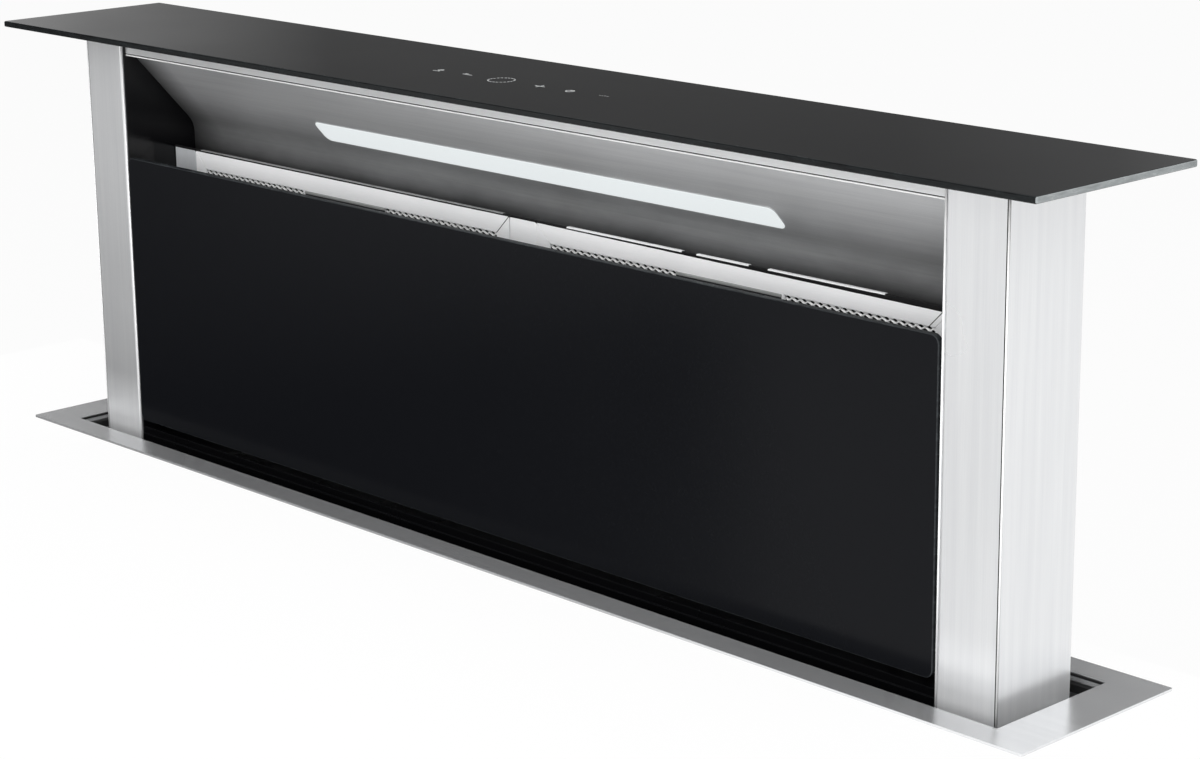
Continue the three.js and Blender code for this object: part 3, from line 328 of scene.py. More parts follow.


# near-black wires on black: painted shade for the mesh layers deep inside the filter
def shadowedLayersFinish():
    mat, tree, shader = newMaterial("filterInnerLayersPaintedShade")
    where = addNode(tree, "ShaderNodeTexCoord")
    mapping = addNode(tree, "ShaderNodeMapping", values={"Scale": (1.0, 1.0, 1.8)})
    cells = addNode(tree, "ShaderNodeTexVoronoi", {"feature": "DISTANCE_TO_EDGE"}, {"Scale": 330.0})
    tree.links.new(where.outputs["Object"], mapping.inputs["Vector"])
    tree.links.new(mapping.outputs["Vector"], cells.inputs["Vector"])
    wires = remap(tree, cells.outputs["Distance"], 0.1, 0.0)
    base = blendColours(tree, wires, colour("#020202"), colour("#191A1A"))
    tree.links.new(base, shader.inputs["Base Color"])
    shader.inputs["Metallic"].default_value = 0.6
    tree.links.new(remap(tree, wires, 0, 1, 0.8, 0.45), shader.inputs["Roughness"])
    addBump(tree, shader, wires, 0.5, 0.0004)
    return mat


finishes = {
    "column": brushedSteel("columnSteel"),
    "trim": brushedSteel("trimSteel"),
    "panel": brushedSteel("panelSteel"),
    "header": brushedSteel("headerSteel"),
    "back": brushedSteel("backSteel"),
    "lidFace": blackGlass("lidBlackGlass", "#0B0C0E", gloss=0.08, level=0.32),
    "doorFace": blackGlass("doorBlackGlass", "#0C0D10", gloss=0.14, level=0.1),
    "glassEdge": arrisGlass("polishedGlassEdge", "#0E0F10", "#191C1D", level=0.15),
    # a lighter copy of the glass edge, for the lid's ends only: painted light where the side lamps fall on
    # them
    "litGlassEnd": arrisGlass("groundGlassEndLit", "#7E8384", "#979C9D"),
    # the door's arris is lighter grey partly as the glass edge's own tone and partly as a painted highlight
    # along its top edge
    "doorArrisAndHighlight": arrisGlass("doorArrisAndHighlight", "#232527", "#36393B", level=0.15),
    "cheek": glossPaint("cheekBlack", "#0B0B0D", "#232426", gloss=0.1, level=0.35),
    "railBlack": glossPaint("railBlack", "#060607", "#1A1B1D", gloss=0.24, level=0.1),
    "blackPlastic": mouldedPlastic("blackMoulding", "#17181A", "#202123"),
    "greyPlastic": mouldedPlastic("greyMoulding", "#7E8285", "#8C9093", grainScale=1100),
    "galvanised": galvanisedSheet("zincSheet"),
    "aluminium": satinMetal("satinAluminium", "#F1F2F3", "#FAFAFB", gloss=0.42, scale=2200,
                            stretch=(0.05, 1, 1), metal=0.15),
    # a darker copy of the filter aluminium: painted shade from the left column
    "post": satinMetal("postAluminiumShaded", "#B6B9BC", "#C8CACD", gloss=0.4, scale=2200,
                       stretch=(1, 1, 0.05), metal=0.15),
    "meshWire": satinMetal("expandedAluminium", "#F0F1F1", "#FCFCFC", gloss=0.3, scale=3000, metal=0.2),
    "paintedShadeSheet": shadowedLayersFinish(),
    "motor": glossPaint("motorGrey", "#43474A", "#7E8285", gloss=0.4),
    "zincScrew": satinMetal("zincScrew", "#B9BCBE", "#D5D8D9", gloss=0.28),
    "spindle": satinMetal("spindleSteel", "#9DA0A3", "#C0C3C5", gloss=0.26, scale=900, stretch=(1, 1, 4)),
    "lamp": frostedLamp("frostedLamp"),
    "printWhite": mouldedPlastic("printWhite", "#DADCDD", "#E6E8E9", grainScale=3000, gloss=0.6),
    "rubber": mouldedPlastic("sealRubber", "#0C0C0D", "#141415", grainScale=900, gloss=0.75),
    "gripBar": satinMetal("gripAluminium", "#9A9C9B", "#B4B6B5", gloss=0.3, scale=2600,
                          stretch=(0.05, 1, 1), metal=0.3),
    # near-white and barely metallic: a painted highlight for narrow rounded bends
    "paintedHighlight": satinMetal("paintedHighlightEdge", "#F6F7F8", "#FFFFFF", gloss=0.18, scale=2600,
                           stretch=(1, 1, 0.05), metal=0.15),
}

nodeFinish = {
    "column": ["column_left", "column_right", "column_cover_left", "column_cover_right"],
    "trim": ["worktop_trim"],
    "panel": ["deflector_panel"],
    "back": ["back_panel"],
    "header": ["header_rail", "filter_ledge"],
    "doorFace": ["front_glass"],
    "cheek": ["inner_cheek_left", "inner_cheek_right"],
    "railBlack": ["lower_rail", "glass_backing", "foot_beam", "lid_carrier", "light_housing"],
    "galvanised": ["casing_front", "casing_back", "casing_side_left", "casing_side_right", "casing_floor",
                   "floor_bracket_left", "floor_bracket_right", "guide_rail_left", "guide_rail_right",
                   "blower_cover", "control_cover", "clamp_front_left", "clamp_front_right",
                   "clamp_back_left", "clamp_back_right"],
    "aluminium": ["filter_frame_left", "filter_frame_right", "filter_post_middle", "filter_post_right"],
    # the left post alone gets the darker copy, as painted shade
    "post": ["filter_post_left"],
    "blackPlastic": ["impeller", "impeller_disc", "duct_collar", "control_box", "cable_gland",
                     "touch_module", "glide_left", "glide_right"],
    "greyPlastic": ["blower_housing", "duct_flap_left", "duct_flap_right"],
    "motor": ["motor_flange", "motor_rotor", "drive_gear_left", "drive_gear_right"],
    "spindle": ["drive_tube_left", "drive_tube_right", "drive_rod_left", "drive_rod_right"],
    "lamp": ["light_lens"],
}


def paintNodes():
    for finish, names in nodeFinish.items():
        for name in names:
            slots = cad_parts[name].data.materials
            slots.clear()
            slots.append(finishes[finish])


paintNodes()
print("finishes on", sum(len(v) for v in nodeFinish.values()), "nodes")


# small helpers for pieces


def meshObject(bm, name, materials):
    mesh = bpy.data.meshes.new(name)
    bm.to_mesh(mesh)
    bm.free()
    for one in materials:
        mesh.materials.append(one)
    made = bpy.data.objects.new(name, mesh)
    scene.collection.objects.link(made)
    return made


def pieceFrom(bm, name, body, finish, smooth=False, also=()):
    # a piece that moves with its body; its first finish gives its slot
    bmesh.ops.recalc_face_normals(bm, faces=bm.faces)
    piece = meshObject(bm, name, [finishes[one] for one in (finish, *also)])
    for polygon in piece.data.polygons:
        polygon.use_smooth = smooth
    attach(piece, body)
    return piece


def addBlock(bm, low, high):
    size = [b - a for a, b in zip(low, high)]
    middle = [(a + b) / 2 for a, b in zip(low, high)]
    matrix = Matrix.Translation(middle) @ Matrix.Diagonal((*size, 1))
    bmesh.ops.create_cube(bm, size=1.0, matrix=matrix)


def addRings(bm, rings, closeEnds=True):
    # skin between loops of points, each loop as long as the next
    loops = [[bm.verts.new(p) for p in ring] for ring in rings]
    count = len(loops[0])
    for a, b in zip(loops, loops[1:]):
        for i in range(count):
            j = (i + 1) % count
            bm.faces.new((a[i], a[j], b[j], b[i]))
    if closeEnds:
        bm.faces.new(loops[0][::-1])
        bm.faces.new(loops[-1])


def roundedLoop(low, high, corner, inset, steps=6):
    # points round a rectangle with round corners, drawn in by inset
    points = []
    for k, (sx, sy) in enumerate(((1, 1), (-1, 1), (-1, -1), (1, -1))):
        cx = (high[0] if sx > 0 else low[0]) - sx * corner
        cy = (high[1] if sy > 0 else low[1]) - sy * corner
        for i in range(steps + 1):
            angle = math.pi / 2 * (k + i / steps)
            reach = corner - inset
            points.append((cx + reach * math.cos(angle), cy + reach * math.sin(angle)))
    return points


def circleRing(radius, height, count=24):
    return [(radius * math.cos(2 * math.pi * i / count), radius * math.sin(2 * math.pi * i / count), height)
            for i in range(count)]


def crossRing(arm, half, height, count=24):
    # outline of a cross recess, sampled at the same angles as a circle
    ring = []
    for i in range(count):
        angle = 2 * math.pi * i / count
        c, s = abs(math.cos(angle)), abs(math.sin(angle))
        major, minor = max(c, s), min(c, s)
        radius = arm / major if minor * arm <= half * major else half / minor
        ring.append((radius * math.cos(angle), radius * math.sin(angle), height))
    return ring


def outwards(normal):
    return Vector(normal).to_track_quat("Z", "Y").to_matrix().to_4x4()


screwSize = {
    "pan": {"head": 3.6 * mm, "height": 2.0 * mm, "arm": 1.7 * mm, "half": 0.35 * mm, "deep": 1.1 * mm},
    "small": {"head": 2.6 * mm, "height": 1.3 * mm, "arm": 1.25 * mm, "half": 0.28 * mm, "deep": 0.8 * mm},
}
screwForm = {
    "profile": ((0.96, -0.05), (1.0, 0.12), (0.99, 0.42), (0.9, 0.72), (0.74, 0.9), (0.56, 0.985)),
    "taper": (0.8, 0.85),  # the cross recess narrows towards its floor
    "firstTurn": 0.4, "nextTurn": 1.3,  # no two neighbours stop at the same angle
}


def addScrew(bm, place, normal, kind, turn):
    size = screwSize[kind]
    radius, height = size["head"], size["height"]
    armShare, halfShare = screwForm["taper"]
    rings = [circleRing(radius * across, height * up) for across, up in screwForm["profile"]]
    rings.append(crossRing(size["arm"], size["half"], height))
    rings.append(crossRing(size["arm"] * armShare, size["half"] * halfShare, height - size["deep"]))
    before = len(bm.verts)
    addRings(bm, rings)
    bm.verts.ensure_lookup_table()
    matrix = Matrix.Translation(place) @ outwards(normal) @ Matrix.Rotation(turn, 4, "Z")
    bmesh.ops.transform(bm, matrix=matrix, verts=bm.verts[before:])


def screwSet(name, body, places, kind="pan"):
    bm = bmesh.new()
    for n, (place, normal) in enumerate(places):
        addScrew(bm, place, normal, kind, screwForm["firstTurn"] + screwForm["nextTurn"] * n)
    pieceFrom(bm, name, body, "zincScrew", smooth=True)


# glass lid with its printed controls

lid = {
    "corner": 1.6 * mm,  # upright corners
    "arris": 0.7 * mm,  # ground edge, top and bottom
    "printRoom": 0.12 * mm,  # the face lies this far under the lid's top, for the print
}


def makeLidPane():
    low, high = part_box("lid_glass")
    top = high.z - lid["printRoom"]

    def loop(inset, z):
        return [(x, y, z) for x, y in roundedLoop(low.xy, high.xy, lid["corner"], inset)]

    arris = lid["arris"]
    bm = bmesh.new()
    addRings(bm, [loop(arris, low.z), loop(arris * 0.35, low.z + arris * 0.35), loop(0, low.z + arris),
                  loop(0, top - arris), loop(arris * 0.35, top - arris * 0.35), loop(arris, top)])
    bm.faces.ensure_lookup_table()
    bm.normal_update()
    for face in bm.faces:
        # the ends facing X take the lighter copy of the edge finish as painted light; front and back edges
        # keep the dark one
        face.material_index = 0 if abs(face.normal.z) > 0.98 else 2 if abs(face.normal.x) > 0.6 else 1
    pane = pieceFrom(bm, "lid_pane", "tower", "lidFace", also=("glassEdge", "litGlassEnd"))
    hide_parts("lid_glass")
    return top


controls = {
    "line": 0.6 * mm,  # width of a printed stroke
    "arm": 4.2 * mm,  # half length of the strokes in less and more
    "printHeight": 0.06 * mm,
    "y": -6.3 * mm,
    "lampX": -55.4 * mm, "bulb": 1.7 * mm, "bulbUp": 0.8 * mm,
    "rays": (-1.8 * mm, 0, 1.8 * mm), "rayTop": -2.0 * mm, "rayFoot": -3.6 * mm, "raySpread": 1.4,
    "minusX": -29.9 * mm, "shortEnd": -1.4 * mm, "shortUp": 2.2 * mm,
    "ringX": 1.0 * mm, "ringRadius": 8.2 * mm, "ringDashes": 22, "dashShare": 0.62,
    "plusX": 35.1 * mm, "plusTall": 0.8,
    "timerX": 61.1 * mm, "timerRadius": 2.6 * mm, "timerHand": 1.8 * mm,
    "levelX": 88.0 * mm, "levels": 4, "levelPitch": 2.0 * mm, "levelLine": 0.3 * mm,
    "levelFoot": 1.0 * mm, "levelTop": 1.6 * mm, "levelStep": 0.3 * mm,
}


def strokeAlong(bm, points, width, z, height, closed=False):
    # flat printed line through the points
    count = len(points)
    left, right = [], []
    for i, p in enumerate(points):
        before = points[(i - 1) % count] if closed or i else p
        after = points[(i + 1) % count] if closed or i < count - 1 else p
        d = Vector((after[0] - before[0], after[1] - before[1]))
        d.normalize()
        left.append(bm.verts.new((p[0] - d.y * width / 2, p[1] + d.x * width / 2, z)))
        right.append(bm.verts.new((p[0] + d.y * width / 2, p[1] - d.x * width / 2, z)))
    faces = []
    for i in range(count if closed else count - 1):
        j = (i + 1) % count
        faces.append(bm.faces.new((left[i], left[j], right[j], right[i])))
    up = bmesh.ops.extrude_face_region(bm, geom=faces)
    raised = [v for v in up["geom"] if isinstance(v, bmesh.types.BMVert)]
    bmesh.ops.translate(bm, vec=(0, 0, height), verts=raised)


def arcPoints(cx, cy, radius, start, end, steps):
    angles = [math.radians(start + (end - start) * i / steps) for i in range(steps + 1)]
    return [(cx + radius * math.cos(a), cy + radius * math.sin(a)) for a in angles]


def makeControlMarks(z):
    bm = bmesh.new()
    y, arm = controls["y"], controls["arm"]

    def line(points, closed=False, width=controls["line"]):
        strokeAlong(bm, points, width, z, controls["printHeight"], closed)

    x = controls["lampX"]  # lamp: small ring with three rays under it
    line(arcPoints(x, y + controls["bulbUp"], controls["bulb"], 0, 345, 14), closed=True)
    rayTop, rayFoot, spread = y + controls["rayTop"], y + controls["rayFoot"], controls["raySpread"]
    for ray in controls["rays"]:
        line([(x + ray, rayTop), (x + ray * spread, rayFoot)])
    x, up = controls["minusX"], controls["shortUp"]  # less
    line([(x - arm, y), (x + arm, y)])
    line([(x - arm, y + up), (x + controls["shortEnd"], y + up)])
    x = controls["ringX"]  # dashed ring round the fan's speed
    turn = 360 / controls["ringDashes"]
    for k in range(controls["ringDashes"]):
        line(arcPoints(x, y, controls["ringRadius"], k * turn, (k + controls["dashShare"]) * turn, 3))
    x, tall = controls["plusX"], arm * controls["plusTall"]  # more
    line([(x - arm, y), (x + arm, y)])
    line([(x, y - tall), (x, y + tall)])
    x = controls["timerX"]  # timer: ring with a hand
    line(arcPoints(x, y, controls["timerRadius"], 0, 350, 18), closed=True)
    line([(x, y), (x, y + controls["timerHand"])])
    levels, pitch = controls["levels"], controls["levelPitch"]  # faint row of level lines
    for k in range(levels):
        x = controls["levelX"] + (k - (levels - 1) / 2) * pitch
        top = y + controls["levelTop"] + k * controls["levelStep"]
        line([(x, y + controls["levelFoot"]), (x, top)], width=controls["levelLine"])
    pieceFrom(bm, "control_marks", "tower", "printWhite")


makeControlMarks(makeLidPane())
print("lid and controls")


# glass door and lamp strip

door = {"corner": 5.2 * mm, "arris": 0.5 * mm}


def makeDoorPane():
    low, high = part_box("front_glass")
    arris = door["arris"]

    def loop(inset, y):
        return [(x, y, z) for x, z in roundedLoop((low.x, low.z), (high.x, high.z), door["corner"], inset)]

    bm = bmesh.new()
    addRings(bm, [loop(arris, low.y), loop(arris * 0.3, low.y + arris * 0.3), loop(0, low.y + arris),
                  loop(0, high.y - arris * 0.5), loop(arris * 0.5, high.y)])
    bm.normal_update()
    for face in bm.faces:
        # edge faces get the lighter arris finish, partly a painted highlight
        face.material_index = 0 if abs(face.normal.y) > 0.98 else 1
    pane = pieceFrom(bm, "door_pane", "glass_door", "doorFace", also=("doorArrisAndHighlight",))
    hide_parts("front_glass")


lampStrip = {  # on the slanted panel; up is along the slope, out is away from it
    "middle": (15.1 * mm, 227.05 * mm), "lean": 42,
    "left": -201 * mm, "right": 210.5 * mm, "low": -6.9 * mm, "high": 11.6 * mm, "corner": 5.0 * mm,
    "face": 0.5 * mm, "proud": 0.6 * mm, "soft": 0.5 * mm, "crown": 0.05 * mm, "sunk": 0.1 * mm,
    "rimLow": -9.2 * mm, "rim": 1.0 * mm, "rimProud": 0.16 * mm, "rimSunk": 0.3 * mm,
    "rimSoft": 0.06 * mm, "rimEdge": 0.1 * mm, "rimLand": 0.6 * mm,
}


def onPanel(x, up, out):
    lean = math.radians(lampStrip["lean"])
    y0, z0 = lampStrip["middle"]
    y = y0 - up * math.sin(lean) - out * math.cos(lean)
    return (x, y, z0 + up * math.cos(lean) - out * math.sin(lean))


def lampLoop(inset, out, grow=0.0, low=lampStrip["low"]):
    left, right, high, corner = (lampStrip[k] for k in ("left", "right", "high", "corner"))
    flat = roundedLoop((left - grow, low), (right + grow, high + grow), corner + grow, inset)
    return [onPanel(x, up, out) for x, up in flat]


def makeLampLens():
    soft, face = lampStrip["soft"], lampStrip["face"]
    top = face + lampStrip["proud"]
    bm = bmesh.new()
    addRings(bm, [lampLoop(0, face - lampStrip["sunk"]), lampLoop(0, top - soft),
                  lampLoop(0.3 * soft, top - 0.3 * soft), lampLoop(soft, top),
                  lampLoop(2 * soft, top + lampStrip["crown"])])
    lens = pieceFrom(bm, "lamp_lens", "tower", "lamp")
    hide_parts("light_lens")


def makeLampRim():
    grow, low, face = lampStrip["rim"], lampStrip["rimLow"], lampStrip["face"]
    top = face + lampStrip["rimProud"]
    bm = bmesh.new()
    addRings(bm, [lampLoop(0, face - lampStrip["rimSunk"], grow, low),
                  lampLoop(0, top - lampStrip["rimSoft"], grow, low),
                  lampLoop(lampStrip["rimEdge"], top, grow, low),
                  lampLoop(lampStrip["rimLand"], top, grow, low)])
    pieceFrom(bm, "lamp_rim", "tower", "panel")


makeDoorPane()
makeLampLens()
makeLampRim()

headerParts = {  # (y, z) outlines of the strips along the top, in mm
    "header_skin": ("header", (
        (-26.7, 267.6), (-27.05, 267.6), (-27.2, 267.75), (-27.2, 281.4), (-27.1, 281.6), (-26.7, 281.6))),
    "header_joint": ("rubber", (
        (-25.8, 266.9), (-26.85, 266.9), (-26.9, 267.2), (-26.85, 267.8), (-25.8, 267.9))),
    # the hem's near-white finish is a painted highlight along the panel's rounded top edge
    "panel_hem": ("paintedHighlight", (
        (-25.6, 266.0), (-26.9, 266.0), (-27.15, 266.2), (-27.2, 266.55), (-27.15, 266.85), (-26.9, 267.05),
        (-25.6, 267.05))),
}


def makeHeaderParts():
    low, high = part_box("deflector_panel")
    for name, (finish, outline) in headerParts.items():
        bm = bmesh.new()
        addRings(bm, [[(x, y * mm, z * mm) for y, z in outline] for x in (low.x, high.x)])
        pieceFrom(bm, name, "tower", finish)


makeHeaderParts()
print("door pane, lamp strip and header")


# grease filters: expanded mesh, top lips and seals

lattice = {
    "pitchX": 6.0 * mm,  # long way of a diamond
    "pitchZ": 3.4 * mm,
    "strand": 1.0 * mm,
    "sheet": 0.5 * mm,
    "tilt": 0.28 * mm,  # each strand leans, as the press leaves it
    "knot": 0.12 * mm,  # neighbouring strands lie this far into each other
}
paintedShadeSheet = {"gap": 0.3 * mm, "wave": 0.35 * mm, "waves": (1.9, 2.3), "cells": (96, 56)}


def makeLattice(side):
    low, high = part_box("filter_mesh_" + side)
    bm = bmesh.new()
    stepX, stepZ = lattice["pitchX"] / 2, lattice["pitchZ"] / 2
    columns = int((high.x - low.x) / stepX)
    rows = int((high.z - low.z) / stepZ) - 1
    half, thick, tilt = lattice["strand"] / 2, lattice["sheet"], lattice["tilt"]
    front = low.y + tilt
    startZ = low.z + ((high.z - low.z) - rows * stepZ) / 2
    startX = low.x + ((high.x - low.x) - columns * stepX) / 2
    for row in range(rows + 1):
        rings = []
        for i in range(columns + 1):
            swing = (1 if (i + row) % 2 else -1) * (stepZ / 2 - lattice["knot"])
            z = min(max(startZ + row * stepZ + swing, low.z + half), high.z - half)
            x = startX + i * stepX
            rings.append([(x, front - tilt, z - half), (x, front + tilt, z + half),
                          (x, front + tilt + thick, z + half), (x, front - tilt + thick, z - half)])
        addRings(bm, rings)
    mesh = pieceFrom(bm, "filter_lattice_" + side, "filter_" + side, "meshWire")
    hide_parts("filter_mesh_" + side)


def makeInnerLayers(side):
    # darker layers of mesh behind the first one, as a wavy sheet with a flat back; the layers are real,
    # their near-black colour is painted shade deep inside the filter
    low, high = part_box("filter_mesh_" + side)
    front = low.y + 2 * lattice["tilt"] + lattice["sheet"] + paintedShadeSheet["gap"]
    across, up = paintedShadeSheet["cells"]
    waveX, waveZ = paintedShadeSheet["waves"]
    bm = bmesh.new()
    grid = []
    for k in range(up + 1):
        z = low.z + (high.z - low.z) * k / up
        grid.append([])
        for i in range(across + 1):
            depth = paintedShadeSheet["wave"] * (0.5 + 0.5 * math.sin(waveX * i) * math.cos(waveZ * k))
            grid[k].append(bm.verts.new((low.x + (high.x - low.x) * i / across, front + depth, z)))
    faces = [bm.faces.new((grid[k][i], grid[k][i + 1], grid[k + 1][i + 1], grid[k + 1][i]))
             for k in range(up) for i in range(across)]
    back = bmesh.ops.extrude_face_region(bm, geom=faces)
    for v in back["geom"]:
        if isinstance(v, bmesh.types.BMVert):
            v.co.y = high.y
    shadeSheet = pieceFrom(bm, "filter_shade_sheet_" + side, "filter_" + side, "paintedShadeSheet")
    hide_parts("filter_mesh_" + side)


for side in ("left", "right"):
    makeLattice(side)
    makeInnerLayers(side)
print("filter meshes")

topEdge = {  # rubber seal along the filters' top edge, with metal strips on it
    "ends": {"left": (-337.3 * mm, -12.7 * mm), "right": (12.7 * mm, 337.3 * mm)},
    "foot": {"left": (-0.1 * mm, 0.0), "right": (-0.1 * mm, -2.2 * mm)},  # it hangs lower to the right
    "rise": 1.15 * mm, "out": 0.3 * mm, "deep": 1.7 * mm, "tail": -1.2 * mm, "sunk": 0.02 * mm,
    "footSoft": 0.05 * mm, "footRound": 0.25 * mm, "backRound": 0.3 * mm,
    "steps": 60, "ripple": 0.03 * mm, "rippleTurn": 1.7,  # rubber never lies quite straight
    "cap": 0.28 * mm, "capGap": 0.02 * mm, "capFoot": 0.2 * mm,
    "left": {"finish": "gripBar", "drop": 1.05 * mm, "spans": ((-331 * mm, -18 * mm),)},
    "right": {"finish": "aluminium", "drop": 0.6 * mm,
              "spans": ((40 * mm, 137 * mm), (149 * mm, 190 * mm), (205 * mm, 291 * mm))},
}


def sealRing(x, face, top, foot):
    out, rise, deep, tail = (topEdge[k] for k in ("out", "rise", "deep", "tail"))
    outline = [(topEdge["sunk"], foot), (-0.7 * out, foot + topEdge["footSoft"]),
               (-out, foot + topEdge["footRound"]), (-out, 0.6 * rise), (-0.5 * out, rise),
               (deep - topEdge["backRound"], rise), (deep, 0.7 * rise), (deep, tail), (0.3 * deep, tail)]
    return [(x, face + a, top + b) for a, b in outline]


def makeTopSeal(side):
    low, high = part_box("filter_frame_" + side)
    (x0, x1), (foot0, foot1) = topEdge["ends"][side], topEdge["foot"][side]
    steps = topEdge["steps"]
    rings = []
    for i in range(steps + 1):
        ripple = topEdge["ripple"] * math.sin(i * topEdge["rippleTurn"])
        foot = foot0 + (foot1 - foot0) * i / steps + ripple
        rings.append(sealRing(x0 + (x1 - x0) * i / steps, low.y, high.z, foot))
    bm = bmesh.new()
    addRings(bm, rings)
    pieceFrom(bm, "filter_seal_" + side, "filter_" + side, "rubber", smooth=True)


postSeal = {"inset": 0.1 * mm, "foot": -0.05 * mm, "steps": 4}


def makePostSeals():
    bm = bmesh.new()
    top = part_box("filter_frame_left")[1].z
    inset, steps = postSeal["inset"], postSeal["steps"]
    for name in ("left", "middle", "right"):
        low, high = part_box("filter_post_" + name)
        width = high.x - low.x - 2 * inset
        addRings(bm, [sealRing(low.x + inset + width * i / steps, low.y, top, postSeal["foot"])
                      for i in range(steps + 1)])
    pieceFrom(bm, "post_seals", "tower", "rubber")


def makeTopCap(side):
    # thin metal strip folded over the seal
    low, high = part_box("filter_frame_" + side)
    strip, cap, gap, foot = topEdge[side], topEdge["cap"], topEdge["capGap"], topEdge["capFoot"]
    front, top, back = -topEdge["out"] - gap, topEdge["rise"] + gap, topEdge["deep"] + gap
    drop = strip["drop"]
    outline = [(front, drop), (front - cap, drop), (front - cap, top), (front - 0.5 * cap, top + 0.8 * cap),
               (front + 0.3 * cap, top + cap), (back, top + cap), (back + cap, top), (back + cap, foot),
               (back, foot), (back, top), (front, top)]
    bm = bmesh.new()
    for ends in strip["spans"]:
        addRings(bm, [[(x, low.y + a, high.z + b) for a, b in outline] for x in ends])
    pieceFrom(bm, "filter_cap_" + side, "filter_" + side, strip["finish"])


grip = {  # finger pull at the top of each filter
    "centre": 173.6 * mm,
    "half": 41.4 * mm,
    "barTop": 186.9 * mm,
    "bar": 2.0 * mm,
    "foot": 175.2 * mm,
    "proud": 0.55 * mm,
    "plate": 0.25 * mm,
    "clear": 0.02 * mm,
    "plateSoft": 0.3 * mm, "barSoft": 0.15 * mm,
}


def makeGrip(side):
    centre = grip["centre"] * (-1 if side == "left" else 1)
    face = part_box("filter_frame_" + side)[0].y
    foot, top, bar = grip["foot"], grip["barTop"], grip["bar"]
    bottom, back = top - bar, face - grip["clear"]
    proud, plate = grip["proud"], grip["plate"]
    edge = [(back, foot), (face - plate, foot + grip["plateSoft"]), (face - plate, bottom),
            (face - 0.8 * proud, bottom + grip["barSoft"]), (face - proud, bottom + 0.35 * bar),
            (face - proud, bottom + 0.65 * bar), (face - 0.6 * proud, top), (back, top)]
    bm = bmesh.new()
    addRings(bm, [[(centre + x, y, z) for y, z in edge] for x in (-grip["half"], grip["half"])])
    # painted shade: the plate below the bar takes the black rubber finish as the dark of the recess
    for f in bm.faces:
        under = max(v.co.z for v in f.verts) <= bottom + 1e-6
        f.material_index = 1 if under else 0  # the recess below the bar is dark
    pieceFrom(bm, "filter_grip_" + side, "filter_" + side, "gripBar", also=("rubber",))


for side in ("left", "right"):
    makeTopSeal(side)
    makeTopCap(side)
    makeGrip(side)

mitre = {
    "reach": 11.4 * mm, "width": 0.5 * mm, "under": 0.15 * mm,
    "depths": (0.1 * mm, -0.02 * mm, -0.03 * mm),  # from inside the frame to just proud of its face
    "start": {"left": -12.8 * mm, "right": 333 * mm},
}


def makeMitre(side):
    # joint where the frame's strips meet, at the upper right corner
    low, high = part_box("filter_frame_" + side)
    half, reach = mitre["width"] * math.sqrt(0.5) / 2, mitre["reach"]
    ax, az = mitre["start"][side], high.z - mitre["under"]
    bx, bz = ax - reach, az - reach
    flat = [(ax - half, az + half), (bx - half, bz + half), (bx + half, bz - half), (ax + half, az - half)]
    bm = bmesh.new()
    addRings(bm, [[(x, low.y + y, z) for x, z in flat] for y in mitre["depths"]])
    pieceFrom(bm, "filter_mitre_" + side, "filter_" + side, "rubber")


for side in ("left", "right"):
    makeMitre(side)
makePostSeals()
print("seals, pulls and frame joints")


# column edges and screws

columnEdge = {
    "inner": {"from": 363.2 * mm, "to": 364.5 * mm, "front": -30.28 * mm, "back": -29.5 * mm,
              "finish": "paintedHighlight"},
    "seam": {"from": 403.2 * mm, "to": 404.0 * mm, "front": -30.26 * mm, "back": -29.4 * mm,
             "finish": "rubber"},
    "corner": {"from": 403.95 * mm, "to": 405.06 * mm, "front": -30.3 * mm, "back": -29.4 * mm,
               "finish": "paintedHighlight"},
}
edgeRun = {"foot": -18 * mm, "top": 281.5 * mm, "round": 0.35 * mm}


def makeColumnEdges(side):
    # rounded return, black joint and rounded corner of a column's front; return and corner carry a painted
    # highlight in their near-white finish
    sign = -1 if side == "left" else 1
    for name, edge in columnEdge.items():
        inner, outer, front, back = edge["from"], edge["to"], edge["front"], edge["back"]
        middle, half = (inner + outer) / 2, (outer - inner) / 2
        rounding = min(half, edgeRun["round"])
        angles = [math.radians(a) for a in range(0, 181, 30)]
        nose = [(middle - half * math.cos(a), front + rounding * (1 - math.sin(a))) for a in angles]
        profile = [(inner, back), *nose, (outer, back)]
        bm = bmesh.new()
        addRings(bm, [[(sign * x, y, z) for x, y in profile] for z in (edgeRun["foot"], edgeRun["top"])])
        pieceFrom(bm, "column_" + name + "_" + side, "tower", edge["finish"], smooth=True)


for side in ("left", "right"):
    makeColumnEdges(side)

gasket = {
    "x": 418 * mm, "y": 46 * mm, "corner": 2.0 * mm,
    "thick": 0.9 * mm, "top": 0.9 * mm, "foot": -0.4 * mm,
    "clear": 0.02 * mm, "soft": 0.3 * mm, "fall": 0.2 * mm,
    "lip": 3.4 * mm, "lipTop": -3.4 * mm, "lipFoot": -8.6 * mm, "lipClear": 0.1 * mm, "lipFall": 0.5 * mm,
}


